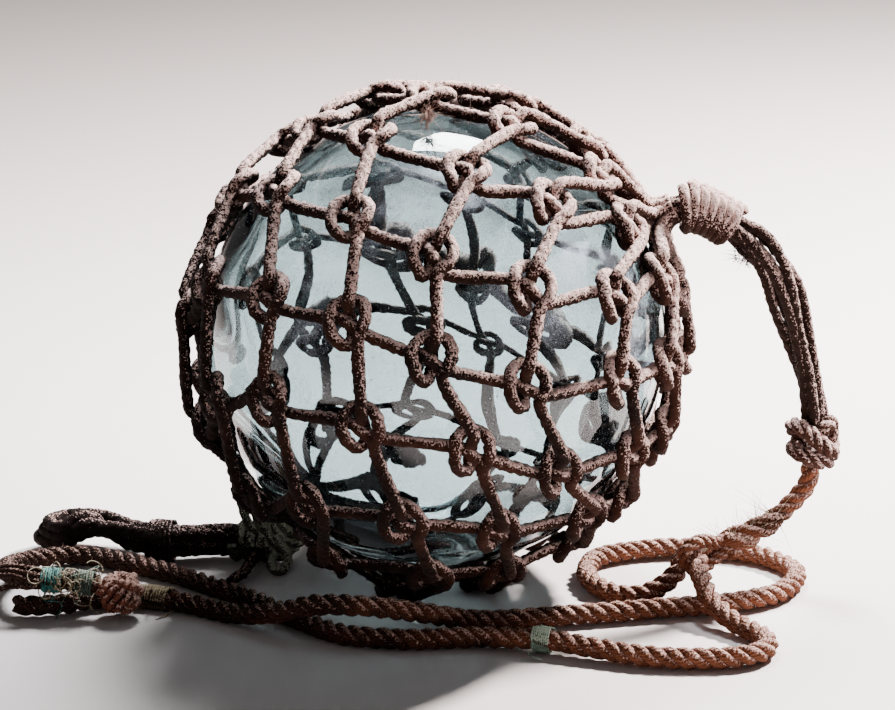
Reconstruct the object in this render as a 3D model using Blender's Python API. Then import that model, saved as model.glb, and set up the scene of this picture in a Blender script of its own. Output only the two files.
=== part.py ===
"""Netted glass fishing float with its two beckets and its floor line.

The frame is in metres, +Z up. The float stands on z = 0 with the centre of the glass over the origin,
the upper becket towards +X, the lower becket towards -X, and its front towards -Y.
"""

import math

import bmesh
import bpy
import numpy as np
from mathutils import Matrix, Vector

for old in list(bpy.data.objects):
    bpy.data.objects.remove(old, do_unlink=True)

# Driving sizes of the float and its cordage
BALL_DIAMETER = 0.254
NET_CORD = 0.0065
KNOT_WIDTH = 0.019
KNOT_HEIGHT = 0.022
KNOT_DEPTH = 0.0150
LINE_DIAMETER = 0.0115
TWINE_WALL = 0.0009
CLEARANCE = 0.0003

# Layout of the net: knots round the ball, and rings of knots from the upper pole to the lower one
KNOTS_ROUND = 9
FIRST_RING = -5
LAST_RING = 4
MIDDLE_RING_ANGLE = math.radians(76.5)
MESH_ANGLE = math.radians(21.97)
MESH_GROWTH = -0.0195
NET_PHASE = math.radians(6.1)
NET_TWIST = math.radians(5.4)

# The net's axis: it rises to the upper right, leans to the front, and bends from pole to pole
AXIS_SLOPE = math.radians(42.5)
AXIS_LEAN = math.radians(5.9)
AXIS_BEND_IN = math.radians(24.0)
AXIS_BEND_OUT = math.radians(12.0)

# What the radii of the net and the height of the ball follow from
BALL_RADIUS = BALL_DIAMETER / 2
KNOT_GAP = 0.0010
KNOT_RADIUS = BALL_RADIUS + KNOT_GAP + KNOT_DEPTH / 2
FLOOR_SLACK = 0.0004
BALL_HEIGHT = BALL_RADIUS + KNOT_DEPTH + KNOT_GAP + FLOOR_SLACK
BALL_CENTRE = Vector((0.0, 0.0, BALL_HEIGHT))

# The knots under the ball are pressed flat against what it stands on
SETTLE_BELOW = 0.018

# A knot's block: its half-diagonals at the shoulder, and its face, back and crown as shares of them
KNOT_DIAMOND_SHARE = 0.62
KNOT_FACE_SHARE = 0.62
KNOT_BACK_SHARE = 0.80
KNOT_CROWN_SHARE = 0.24
KNOT_SHOULDER_SHARE = 0.8
NECK_LENGTH = 0.005

# Sizes of the two gathers, in which the last meshes of the net come together
GATHER_RADIUS = 0.0205
GATHER_TOP_RADIUS = 0.0150
GATHER_DEPTH = 0.0090
GATHER_LEVELS = (-0.45, 0.2, 0.55)
GATHER_CORDS = 2 * KNOTS_ROUND
GATHER_GAP = 0.0009

# Sizes of the whipped collars and the beckets
COLLAR_TURNS = 7
COLLAR_START = 0.012
COLLAR_LENGTH = 0.034
COLLAR_END = COLLAR_START + COLLAR_LENGTH
COLLAR_SIDES = 8
COLLAR_RIB_SHARE = 0.28
FIRST_TURN_SHARE = 0.35
STRAIGHT_OUT = 0.006
SHOULDER_LENGTH = 0.010
BUNDLE_NECK_RADIUS = 0.0072
BUNDLE_SHOULDER_RADIUS = 0.0120
BUNDLE_END_RADIUS = 0.0082
BUNDLE_CORDS = 6
BUNDLE_LOBES = 0.07
BUNDLE_STEP = 0.0095
LASHING_TURNS = 5
LASHING_RADIUS = 0.0122
LASHING_RIB = 0.0025
LOWER_BUNDLE_RADIUS = 0.0096
RING_LENGTH = 0.0105
RING_WALL = (0.0005, 0.0012, 0.0007, 0.0012, 0.0005)
UPPER_LAY = 1.2
LOWER_LAY = -0.9
LINE_KNOT_TURNS = 3
LINE_KNOT_RADIUS = 0.0135
LINE_KNOT_RIB = 0.0035
LINE_KNOT_TAPER = 0.28
KNOT_SIDES = 10
SEIZING_SIDES = 10
EYE_SPLICE_RADIUS = 0.0076
FRAYED_KNOT_RADIUS = 0.0126

# Knots that have slipped on the ball: ring and half-step round it, then right and up in millimetres
SLIPPED = {
    (0, 0): (-6, 1), (1, 1): (-7, 1), (0, -2): (4, -1), (0, 4): (4, -9), (2, 4): (5, -8),
    (2, -2): (5, -4), (2, 2): (3, 4), (1, 3): (4, 2), (-1, 3): (7, 2), (-1, 1): (0, 4),
    (-2, -2): (4, -5), (-2, 0): (-6, 1), (-3, -1): (-9, 1), (-3, 3): (-1, -5),
    (-4, 2): (7, -1), (4, 2): (5, -2), (3, 3): (3, -5), (-5, 1): (-5, -8),
}

# Routes of the beckets, in millimetres from the gather that each grows out of; the lower one lies on z = 0
UPPER_BECKET_ROUTE = [
    (13.5, 0, 4.6), (22.5, 0, 2.6), (32.5, 0.5, -2.2), (42, 1, -9), (52, 1, -18), (61, 1.5, -30),
    (69, 2, -45), (76, 2, -65), (82.5, 2, -88), (86, 2, -105), (87.5, 2, -113.5),
]
LINE_KNOT_DROP = [(1.5, 0, -10), (1, 0, -18), (-0.5, 0, -28)]
LASHING_ROUTE = [(-15, 6), (-26, 9), (-37, 11)]
LOWER_BECKET_ROUTE = [
    (-50, 12), (-61, 10), (-75, 9), (-89, 14), (-106, 24), (-123, 29),
    (-138, 30),
]

# Route of the line, in millimetres: down from its knot to the eye, along the floor and back
HANGING_ROUTE = [(198.5, -5, 47), (190, -8.5, 40), (180, -12.5, 35)]
SPLICE_ROUTE = [(170, -17, 31.5), (159, -21.5, 28.5)]
EYE_CENTRE = (143, -27, 26.5)
FRONT_ROUTE = [
    (144.3, -39.5, 23.2), (145.6, -52, 20.2), (148.5, -65, 14.4), (156, -77, 8.6), (165, -88, 6.2),
    (172, -98, 6), (174.5, -109, 6), (170, -121, 6), (158, -128.5, 6), (140, -130.5, 6),
    (111, -128, 6), (82, -118, 7),
    (57, -109, 7.9), (34, -104, 7), (14, -102, 6), (-18, -104, 6), (-48, -97, 6), (-74, -75, 6),
    (-100, -46, 6), (-132, -18, 6), (-152, -1, 6), (-176, 14, 6), (-200, 26, 6), (-217, 23, 6.6),
    (-231, 12, 8.5), (-238, -5, 12), (-239, -23, 16), (-233, -40, 19.2), (-223, -52, 21),
    (-210, -57, 21.6), (-197, -56.5, 20.9), (-183.6, -56, 18.4),
]
BACK_ROUTE = [
    (134.4, -33, 18.5), (126, -38, 11.8), (115, -40.5, 7.2), (103, -37.5, 6), (92.5, -27.5, 6),
    (86.5, -13, 6),
    (86, 3, 6),
    (94, 23, 6), (124, 38, 6), (158, 38, 6), (190, 24, 6), (204, -3, 6), (191, -33, 6), (164, -49, 6),
    (120, -59, 6), (68, -70, 6), (26, -78, 6.4), (-4, -88, 14), (-34, -97, 21.6), (-62, -95, 21.6),
    (-86, -83, 12.6), (-108, -68, 6.4), (-132, -53, 6), (-154, -43, 6), (-172, -40.5, 6),
    (-188, -46, 6.2), (-200, -53, 6.8), (-212, -57, 7), (-228, -57.5, 7),
]
LINE_STEP = 0.0255
HANGING_STEP = 0.0125
EYE_STEP = 0.0058
FINE_STEP = 0.0005
END_GAP = 0.0010
EYE_RADIUS = 0.0122
EYE_CLOSING = 0.92
FRAYED_KNOT_CENTRE = (-170.5, -57.5, 15.2)
SEIZING_LENGTH = 0.010
SEIZINGS = {"line_seizing": 0.057, "end_seizing": -0.207, "outer_end_seizing": -0.190}
FRONT_OF_FLOAT_Y = -0.05
RING_START = 0.026

# Surfaces: colour, roughness and metallic value
FINISHES = {
    "sea_glass": ((0.35, 0.62, 0.63, 0.45), 0.06, 0.0),
    "tarred_net_cord": ((0.105, 0.055, 0.040, 1.0), 0.92, 0.0),
    "whipping_cord": ((0.230, 0.130, 0.110, 1.0), 0.92, 0.0),
    "becket_cord": ((0.120, 0.065, 0.050, 1.0), 0.92, 0.0),
    "pale_lashing_cord": ((0.210, 0.220, 0.170, 1.0), 0.92, 0.0),
    "laid_line": ((0.290, 0.130, 0.080, 1.0), 0.92, 0.0),
    "green_twine": ((0.200, 0.330, 0.320, 1.0), 0.88, 0.0),
    "frayed_yarn": ((0.480, 0.230, 0.140, 1.0), 0.95, 0.0),
}


# Finishes and small helpers
def finish(name):
    """The material of a finish, made the first time it is asked for."""
    material = bpy.data.materials.get(name)
    if material is None:
        colour, roughness, metallic = FINISHES[name]
        material = bpy.data.materials.new(name)
        material.use_nodes = True
        shader = material.node_tree.nodes["Principled BSDF"]
        shader.inputs["Base Color"].default_value = colour
        shader.inputs["Roughness"].default_value = roughness
        shader.inputs["Metallic"].default_value = metallic
    return material


def add_mesh(name, points, faces, finish_name):
    """A named object from points and faces, shaded smooth but for its sharp edges."""
    mesh = bpy.data.meshes.new(name)
    mesh.from_pydata([tuple(p) for p in points], [], faces)
    mesh.validate()
    piece = bpy.data.objects.new(name, mesh)
    bpy.context.collection.objects.link(piece)
    mesh.shade_smooth()
    mesh.set_sharp_from_angle(angle=math.radians(50))
    mesh.materials.append(finish(finish_name))
    return piece


def metres(route):
    """A route given in millimetres, as an array in metres."""
    return np.array(route, float) / 1000


def smooth_route(points, step):
    """Evenly spaced points on a smooth cubic curve through the route's own points."""
    points = np.asarray(points, float)
    ends = np.vstack([2 * points[0] - points[1], points, 2 * points[-1] - points[-2]])
    chords = np.linalg.norm(np.diff(ends, axis=0), axis=1)[:, None]
    slopes = (ends[2:] - ends[:-2]) / (chords[1:] + chords[:-1])
    t = np.linspace(0, 1, 24, endpoint=False)[None, :, None]
    a, b = points[:-1, None], points[1:, None]
    span = chords[1:-1, None]
    out, into = slopes[:-1, None] * span, slopes[1:, None] * span
    curve = (
        (2 * t**3 - 3 * t**2 + 1) * a
        + (t**3 - 2 * t**2 + t) * out
        + (3 * t**2 - 2 * t**3) * b
        + (t**3 - t**2) * into
    )
    curve = np.vstack([curve.reshape(-1, 3), points[-1:]])
    along = np.concatenate([[0], np.cumsum(np.linalg.norm(np.diff(curve, axis=0), axis=1))])
    count = max(2, round(along[-1] / step))
    at = np.linspace(0, along[-1], count + 1)
    return np.stack([np.interp(at, along, curve[:, k]) for k in range(3)], axis=1)


def path_frames(path):
    """Tangent, side and up directions along a path, turned as little as possible from point to point."""
    tangents = np.gradient(path, axis=0)
    tangents /= np.linalg.norm(tangents, axis=1)[:, None]
    side = np.cross(tangents[0], (0, 1, 0))
    if np.linalg.norm(side) < 0.3:
        side = np.cross(tangents[0], (0, 0, 1))
    sides = []
    for tangent in tangents:
        side = side - tangent * (side @ tangent)
        side = side / np.linalg.norm(side)
        sides.append(side)
    sides = np.array(sides)
    return tangents, sides, np.cross(tangents, sides)


def rings_along(path, radii, count, lobes=0, lobe_depth=0.0, lay=0.0):
    """Rings of points round a path. Lobes are the cords of a bundle, and lay is their turn in all."""
    _, sides, ups = path_frames(path)
    around = np.linspace(0, 2 * math.pi, count, endpoint=False)
    turn = np.linspace(0, lay, len(path))
    radii = np.broadcast_to(radii, len(path))
    rings = []
    for centre, side, up, radius, shift in zip(path, sides, ups, radii, turn):
        swell = radius * (1 + lobe_depth * np.cos(lobes * (around - shift)))
        rings.append(centre + np.outer(swell * np.cos(around), side) + np.outer(swell * np.sin(around), up))
    return np.array(rings)


def band_faces(ring_count, side_count, first=0, outward=True):
    """Quads between successive rings of points."""
    faces = []
    for i in range(ring_count - 1):
        for j in range(side_count):
            k = (j + 1) % side_count
            a = first + i * side_count + j
            b = first + i * side_count + k
            c = b + side_count
            d = a + side_count
            faces.append((a, b, c, d) if outward else (d, c, b, a))
    return faces


def swept_solid(name, path, radii, side_count, finish_name, **lobing):
    """A closed solid of round or lobed section along a path."""
    rings = rings_along(path, radii, side_count, **lobing)
    count = len(rings)
    faces = band_faces(count, side_count)
    faces.append(tuple(reversed(range(side_count))))
    faces.append(tuple(range((count - 1) * side_count, count * side_count)))
    return add_mesh(name, rings.reshape(-1, 3), faces, finish_name)


def sleeve(name, path, outer, inner, side_count, finish_name):
    """A closed tube wall along a path, such as turns of cord round a bundle."""
    shells = [rings_along(path, outer, side_count), rings_along(path, inner, side_count)]
    count = len(path)
    size = count * side_count
    faces = band_faces(count, side_count) + band_faces(count, side_count, size, outward=False)
    for j in range(side_count):
        k = (j + 1) % side_count
        last = size - side_count
        faces.append((k, j, size + j, size + k))
        faces.append((last + j, last + k, size + last + k, size + last + j))
    return add_mesh(name, np.concatenate([s.reshape(-1, 3) for s in shells]), faces, finish_name)


def ribbed(base, rib, turns, along):
    """Radius of a row of cord turns: round humps on a base, one hump for each turn."""
    return base + rib * np.abs(np.sin(math.pi * turns * along))


def line_curve(name, route, diameter, finish_name, step):
    """A free length of line as a round curve with filled ends."""
    points = smooth_route(route, step)
    curve = bpy.data.curves.new(name, "CURVE")
    curve.dimensions = "3D"
    curve.bevel_depth = diameter / 2
    curve.bevel_resolution = 2
    curve.use_fill_caps = True
    curve.resolution_u = 1
    curve.render_resolution_u = 0
    spline = curve.splines.new("POLY")
    spline.points.add(len(points) - 1)
    for point, at in zip(spline.points, points):
        point.co = (*at, 1.0)
    curve.materials.append(finish(finish_name))
    piece = bpy.data.objects.new(name, curve)
    bpy.context.collection.objects.link(piece)
    return piece


# The net's geometry on the ball
def ring_angles():
    """Angle of each ring of knots from the upper pole: every cord between two knots is one mesh side."""
    half_step = math.pi / KNOTS_ROUND
    angles = {0: MIDDLE_RING_ANGLE}
    for way, last in ((1, LAST_RING), (-1, -FIRST_RING)):
        angle = MIDDLE_RING_ANGLE
        for n in range(1, last + 1):
            side = MESH_ANGLE * (1 + way * MESH_GROWTH * (n - 0.5))
            middle = angle
            for _ in range(8):
                step = math.sqrt(side**2 - (math.sin(middle) * half_step) ** 2)
                middle = angle - way * step / 2
            angle -= way * step
            angles[way * n] = angle
    return angles


# The straight axis: along it, towards the front, and across it to the lower right
LEVEL = math.cos(AXIS_LEAN)
ALONG = Vector((LEVEL * math.cos(AXIS_SLOPE), -math.sin(AXIS_LEAN), LEVEL * math.sin(AXIS_SLOPE)))
VIEW = Vector((0.0, -math.cos(math.radians(15)), math.sin(math.radians(15))))
FRONT = (VIEW - ALONG * VIEW.dot(ALONG)).normalized()
ACROSS = ALONG.cross(FRONT)


def on_net(angle, around):
    """Direction from the ball's centre at an angle from the upper pole, on the bent axis."""
    turn = angle / math.pi - 0.5
    outward = FRONT * math.cos(around) + ACROSS * math.sin(around)
    straight = ALONG * math.cos(angle) + outward * math.sin(angle)
    bend = Matrix.Rotation(AXIS_BEND_IN * turn, 3, FRONT) @ Matrix.Rotation(AXIS_BEND_OUT * turn, 3, ACROSS)
    return bend @ straight


def knot_places():
    """Centre of every knot, by ring and half-step round the ball."""
    places = {}
    half_step = math.pi / KNOTS_ROUND
    for ring, angle in ring_angles().items():
        for n in range(KNOTS_ROUND):
            step = 2 * n - KNOTS_ROUND + 1 + ring % 2
            around = half_step * step + NET_PHASE + NET_TWIST * (angle - math.pi / 2)
            right, up = SLIPPED.get((ring, step), (0, 0))
            place = on_net(angle, around) * KNOT_RADIUS + Vector((right, 0, up)) / 1000
            place = BALL_CENTRE + place.normalized() * KNOT_RADIUS
            if place.z < SETTLE_BELOW:
                place.z = KNOT_DEPTH / 2
            places[ring, step] = place
    return places


def wrapped(step):
    """A half-step round the ball, brought back into the range that knot_places uses."""
    return (step + KNOTS_ROUND - 1) % (2 * KNOTS_ROUND) - KNOTS_ROUND + 1


# The four corners of a knot, seen from outside, in turn: up, right, down and left along the net's axis
CORNERS = ((0, 1), (1, 0), (0, -1), (-1, 0))


def build_net():
    """All cords and knots of the net as one body, open where the glass shows between them."""
    mesh = bmesh.new()
    places = knot_places()
    sockets = {}

    def quad(a, b, c, d):
        mesh.faces.new((a, b, c, d))

    def ring_at(centre, outward, heading, width, depth):
        """Four points of a cord's section, in the order of a socket."""
        across = heading.cross(outward).normalized()
        outward = across.cross(heading).normalized()
        across *= width / 2
        outward *= depth / 2
        signs = ((-1, 1), (1, 1), (1, -1), (-1, -1))
        return [mesh.verts.new(centre + across * s + outward * t) for s, t in signs]

    def knot(key, place):
        """A crowned block with one square socket for each of its four cords."""
        ring, step = key
        outward = (place - BALL_CENTRE).normalized()
        if place.z <= KNOT_DEPTH / 2 + 1e-6:
            outward = Vector((0, 0, -1))
        pole_way = places.get((ring + 1, wrapped(step + 1))), places.get((ring + 1, wrapped(step - 1)))
        foot_way = places.get((ring - 1, wrapped(step + 1))), places.get((ring - 1, wrapped(step - 1)))
        if None in pole_way:
            up = place - (foot_way[0] + foot_way[1]) / 2
        elif None in foot_way:
            up = (pole_way[0] + pole_way[1]) / 2 - place
        else:
            up = pole_way[0] + pole_way[1] - foot_way[0] - foot_way[1]
        up = (up - outward * up.dot(outward)).normalized()
        right = up.cross(outward)
        corners = {}
        for level, half, shrink in (("out", 0.5, KNOT_FACE_SHARE), ("in", -0.5, KNOT_BACK_SHARE)):
            for x, y in CORNERS:
                reach = (right * (x * KNOT_WIDTH) + up * (y * KNOT_HEIGHT)) * (KNOT_DIAMOND_SHARE * shrink)
                level_out = outward * (half * KNOT_DEPTH * KNOT_SHOULDER_SHARE)
                corners[level, x, y] = mesh.verts.new(place + reach + level_out)
        crown = []
        for x, y in CORNERS:
            reach = (right * (x * KNOT_WIDTH) + up * (y * KNOT_HEIGHT)) * KNOT_CROWN_SHARE
            crown.append(mesh.verts.new(place + reach + outward * (0.5 * KNOT_DEPTH)))
        outer = [corners["out", x, y] for x, y in CORNERS]
        inner = [corners["in", x, y] for x, y in CORNERS]
        for j in range(4):
            k = (j + 1) % 4
            quad(outer[j], outer[k], crown[k], crown[j])
        quad(*crown)
        quad(*reversed(inner))
        sides = {(1, 1): (0, 1), (-1, 1): (1, 2), (-1, -1): (2, 3), (1, -1): (3, 0)}
        for (ring_way, step_way), (j, k) in sides.items():
            sockets[ring, step, ring_way, step_way] = [outer[j], outer[k], inner[k], inner[j]]

    def cord(start, end, start_outward, end_outward):
        """A cord from one socket to another, necked down to its own thickness near each.

        It is straight, unless the ball is in its way: then its middle is lifted clear of the glass.
        """
        a = sum((v.co for v in start), Vector()) / 4
        b = sum((v.co for v in end), Vector()) / 4
        heading = (b - a).normalized()
        neck = min(NECK_LENGTH, (b - a).length / 4)
        first = ring_at(a + heading * neck, start_outward, heading, NET_CORD, NET_CORD)
        second = ring_at(b - heading * neck, end_outward, heading, NET_CORD, NET_CORD)
        middle = (a + b) / 2
        lift = BALL_RADIUS + NET_CORD / 2 + CLEARANCE - (middle - BALL_CENTRE).length
        rings = [start, first, second, end]
        if lift > 0:
            outward = outward_at(middle)
            rings.insert(2, ring_at(middle + outward * lift, outward, heading, NET_CORD, NET_CORD))
        for low, high in zip(rings[:-1], rings[1:]):
            for j in range(4):
                k = (j + 1) % 4
                quad(low[k], low[j], high[j], high[k])

    def outward_at(point):
        return (point - BALL_CENTRE).normalized()

    for key, place in places.items():
        knot(key, place)

    for ring in range(FIRST_RING, LAST_RING):
        for step in [s for r, s in places if r == ring]:
            for way in (1, -1):
                other = wrapped(step + way)
                start = sockets[ring, step, 1, way]
                far = sockets[ring + 1, other, -1, -way]
                end = [far[1], far[0], far[3], far[2]]
                cord(start, end, outward_at(places[ring, step]), outward_at(places[ring + 1, other]))

    def gather(ring, ring_way, pole_angle):
        """The last meshes brought together: a crowned disc with one socket for each cord."""
        pole = on_net(pole_angle, 0.0)
        centre = BALL_CENTRE + pole * KNOT_RADIUS
        steps = sorted(s for r, s in places if r == ring)
        arrivals = [(step, way) for step in steps for way in (-1, 1)]
        spoke = places[ring, steps[0]] - BALL_CENTRE
        first_way = (spoke - pole * spoke.dot(pole)).normalized()
        second_way = pole.cross(first_way) * ring_way

        def rim(radius, level):
            points = []
            for j in range(GATHER_CORDS):
                angle = 2 * math.pi * (j - 1) / GATHER_CORDS
                reach = first_way * math.cos(angle) + second_way * math.sin(angle)
                points.append(mesh.verts.new(centre + reach * radius + pole * (GATHER_DEPTH * level)))
            return points

        bottom, top = rim(GATHER_RADIUS, GATHER_LEVELS[0]), rim(GATHER_RADIUS, GATHER_LEVELS[1])
        crown = rim(GATHER_TOP_RADIUS, GATHER_LEVELS[2])
        for j, (step, way) in enumerate(arrivals):
            k = (j + 1) % GATHER_CORDS
            quad(top[j], top[k], crown[k], crown[j])
            left, right = (j, k) if ring_way > 0 else (k, j)
            start = sockets[ring, step, ring_way, way]
            end = [top[left], top[right], bottom[right], bottom[left]]
            cord(start, end, outward_at(places[ring, step]), pole)
        mesh.faces.new(crown)
        mesh.faces.new(list(reversed(bottom)))
        return centre + pole * (GATHER_DEPTH * GATHER_LEVELS[2]), pole

    upper = gather(LAST_RING, 1, 0.0)
    lower = gather(FIRST_RING, -1, math.pi)
    for vert in mesh.verts:
        vert.co.z = max(vert.co.z, 0.0)
    bmesh.ops.recalc_face_normals(mesh, faces=mesh.faces)
    data = bpy.data.meshes.new("net")
    mesh.to_mesh(data)
    mesh.free()
    data.shade_smooth()
    data.set_sharp_from_angle(angle=math.radians(40))
    data.materials.append(finish("tarred_net_cord"))
    net = bpy.data.objects.new("net", data)
    bpy.context.collection.objects.link(net)
    return upper, lower


# Beckets, collars and knots
def beyond(point, way, distance):
    """A point a little further on along a direction."""
    return np.array(point) + np.array(way) * distance


def build_upper_becket(top, pole):
    """The cords that leave the upper gather through their whipping, and hang down beside the float."""
    start = beyond(top, pole, GATHER_GAP)
    route = np.vstack([start, beyond(start, pole, STRAIGHT_OUT), start + metres(UPPER_BECKET_ROUTE)])
    path = smooth_route(route, BUNDLE_STEP)
    along = np.arange(len(path)) * np.linalg.norm(path[1] - path[0])
    leaving = np.clip((along - COLLAR_END) / SHOULDER_LENGTH, 0, 1)
    tapering = np.clip((along - COLLAR_END) / (along[-1] - COLLAR_END), 0, 1)
    loose = BUNDLE_SHOULDER_RADIUS + (BUNDLE_END_RADIUS - BUNDLE_SHOULDER_RADIUS) * tapering
    radii = BUNDLE_NECK_RADIUS + (loose - BUNDLE_NECK_RADIUS) * leaving
    bundle_solid("upper_becket", path, radii, UPPER_LAY)
    return route, path


def bundle_solid(name, path, radii, lay):
    """A bundle of cords as one solid, with a lobe for each cord."""
    sides = 2 * BUNDLE_CORDS
    swept_solid(name, path, radii, sides, "becket_cord", lobes=BUNDLE_CORDS, lobe_depth=BUNDLE_LOBES, lay=lay)


def room_round(radius, sides, gap):
    """Radius of a sleeve's inner corners that keeps its flats a gap away from what it goes round."""
    return (radius + gap) / math.cos(math.pi / sides)


def along_route(route, first, last, count):
    """Evenly spaced points between two distances along a route."""
    whole = smooth_route(route, FINE_STEP)
    at = np.linspace(first, last, count)
    return np.stack([np.interp(at, np.arange(len(whole)) * FINE_STEP, whole[:, k]) for k in range(3)], axis=1)


def spread_along(route, count):
    """A number of points spread evenly over the whole of a route."""
    whole = smooth_route(route, FINE_STEP)
    return whole[np.linspace(0, len(whole) - 1, count).astype(int)]


def build_upper_collar(route):
    """Turns of cord whipped round the becket's neck, the first one the largest."""
    count = 2 * COLLAR_TURNS + 1
    path = along_route(route, COLLAR_START, COLLAR_END - END_GAP, count)
    rib = NET_CORD * COLLAR_RIB_SHARE
    outer = ribbed(BUNDLE_NECK_RADIUS + NET_CORD - rib, rib, COLLAR_TURNS, np.linspace(0, 1, count))
    outer[0] -= NET_CORD * FIRST_TURN_SHARE
    outer[1] += NET_CORD * FIRST_TURN_SHARE
    inner = room_round(BUNDLE_NECK_RADIUS * (1 + BUNDLE_LOBES), COLLAR_SIDES, 2 * CLEARANCE)
    sleeve("upper_collar", path, outer, inner, COLLAR_SIDES, "whipping_cord")


def heading_of(path):
    """The direction in which a path ends."""
    step = path[-1] - path[-2]
    return step / np.linalg.norm(step)


def build_line_knot(becket_path):
    """The hitch by which the line is made fast to the becket's end, as three swollen turns."""
    heading = heading_of(becket_path)
    start = becket_path[-1] + heading * 2 * CLEARANCE
    route = np.vstack([start, start + heading * LINE_DIAMETER / 3, start + metres(LINE_KNOT_DROP)])
    count = 2 * LINE_KNOT_TURNS + 1
    path = spread_along(route, count)
    along = np.linspace(0, 1, count)
    base = LINE_KNOT_RADIUS - LINE_KNOT_RIB
    radii = ribbed(base, LINE_KNOT_RIB, LINE_KNOT_TURNS, along) * (1 - LINE_KNOT_TAPER * along**3)
    swept_solid("line_knot", path, radii, KNOT_SIDES, "laid_line")
    return path


def build_lower_becket(top, pole):
    """The lashing round the lower gather, and the second bundle of cords, lying on the floor."""
    start = beyond(top, pole, GATHER_GAP)
    level = np.array([0, 0, LASHING_RADIUS + CLEARANCE])
    lying = start * (1, 1, 0) + metres([(x, y, 0) for x, y in LASHING_ROUTE]) + level
    lashing = np.vstack([start, beyond(start, pole, GATHER_DEPTH * 0.75), lying])
    count = 2 * LASHING_TURNS + 1
    radii = ribbed(LASHING_RADIUS - LASHING_RIB, LASHING_RIB, LASHING_TURNS, np.linspace(0, 1, count))
    radii[:2] -= LASHING_RIB
    path = spread_along(lashing, count)
    swept_solid("lower_collar", path, radii, KNOT_SIDES, "pale_lashing_cord")
    heading = heading_of(path)
    neck = path[-1] + heading * 3 * CLEARANCE
    bundle = start * (1, 1, 0) + metres([(x, y, 0) for x, y in LOWER_BECKET_ROUTE]) + level
    bundle = np.vstack([neck, neck + heading * LOWER_BUNDLE_RADIUS / 2, bundle])
    bundle_solid("lower_becket", smooth_route(bundle, BUNDLE_STEP), LOWER_BUNDLE_RADIUS, LOWER_LAY)
    ring = along_route(bundle, RING_START, RING_START + RING_LENGTH, len(RING_WALL))
    inner = room_round(LOWER_BUNDLE_RADIUS * (1 + BUNDLE_LOBES), KNOT_SIDES, CLEARANCE)
    sleeve("becket_ring", ring, inner + np.array(RING_WALL), inner, KNOT_SIDES, "becket_cord")


def build_hanging_line(knot_path):
    """The line from its knot down to its eye splice, whose eye is closed round the floor line."""
    heading = heading_of(knot_path)
    start = knot_path[-1] + heading * END_GAP
    route = np.vstack([start, start + heading * LINE_DIAMETER, metres(HANGING_ROUTE)])
    line_curve("hanging_line", route, LINE_DIAMETER, "laid_line", HANGING_STEP)
    tube = smooth_route(route, HANGING_STEP)
    heading = heading_of(tube)
    start = tube[-1] + heading * END_GAP
    eye = metres(EYE_CENTRE)
    neck = np.vstack([start, start + heading * LINE_DIAMETER / 3, metres(SPLICE_ROUTE), eye])
    inward = heading_of(smooth_route(neck, HANGING_STEP))
    path = smooth_route(np.vstack([neck, eye + inward * EYE_RADIUS * EYE_CLOSING]), EYE_STEP)
    from_eye = np.linalg.norm(path - eye, axis=1)
    round_eye = np.sqrt(np.clip(EYE_RADIUS**2 - from_eye**2, (EYE_RADIUS * 0.3) ** 2, None))
    from_start = np.linalg.norm(path - path[0], axis=1)
    swelling = np.clip(from_start / LINE_DIAMETER, 0, 1)
    splice = LINE_DIAMETER / 2 + (EYE_SPLICE_RADIUS - LINE_DIAMETER / 2) * swelling
    past_eye = np.arange(len(path)) > np.argmin(from_eye)
    radii = np.where(past_eye, round_eye, np.maximum(round_eye, splice))
    swept_solid("eye_splice", path, radii, KNOT_SIDES, "laid_line")


def line_at(route, x):
    """Middle and heading of a seizing on the straight stretch of the line that passes a place along X."""
    points = smooth_route(metres(route), LINE_STEP)
    for near, far in zip(points[:-1], points[1:]):
        share = (x - near[0]) / (far[0] - near[0])
        if 0 <= share <= 1 and near[1] < FRONT_OF_FLOAT_Y:
            length = np.linalg.norm(far - near)
            margin = SEIZING_LENGTH * 0.7 / length
            return near + (far - near) * np.clip(share, margin, 1 - margin), (far - near) / length


def build_seizings():
    """Bands of twine wound round the line: one on its front run, and two at its frayed end."""
    run = np.linspace(-0.5, 0.5, 3)[:, None] * SEIZING_LENGTH
    inner = room_round(LINE_DIAMETER / 2, SEIZING_SIDES, CLEARANCE)
    for name, x in SEIZINGS.items():
        middle, heading = line_at(FRONT_ROUTE, x)
        sleeve(name, middle + run * heading, inner + TWINE_WALL, inner, SEIZING_SIDES, "green_twine")


def build_frayed_knot():
    """The stopper knot with unlaid yarns at one end of the line, as a lumpy ball."""
    mesh = bmesh.new()
    bmesh.ops.create_icosphere(mesh, subdivisions=2, radius=FRAYED_KNOT_RADIUS)
    for vert in mesh.verts:
        x, y, z = vert.co / FRAYED_KNOT_RADIUS
        vert.co *= 1 - 0.07 * (1 + math.sin(5 * x + 3 * z) * math.cos(4 * y - 1.5))
    bmesh.ops.translate(mesh, vec=metres(FRAYED_KNOT_CENTRE), verts=mesh.verts)
    data = bpy.data.meshes.new("frayed_knot")
    mesh.to_mesh(data)
    mesh.free()
    data.shade_smooth()
    data.materials.append(finish("frayed_yarn"))
    bpy.context.collection.objects.link(bpy.data.objects.new("frayed_knot", data))


def build_glass_ball():
    """The blown float: sealed, so one solid ball."""
    mesh = bmesh.new()
    bmesh.ops.create_uvsphere(mesh, u_segments=26, v_segments=14, radius=BALL_RADIUS)
    bmesh.ops.translate(mesh, vec=BALL_CENTRE, verts=mesh.verts)
    data = bpy.data.meshes.new("glass_ball")
    mesh.to_mesh(data)
    mesh.free()
    data.shade_smooth()
    data.materials.append(finish("sea_glass"))
    bpy.context.collection.objects.link(bpy.data.objects.new("glass_ball", data))


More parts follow.
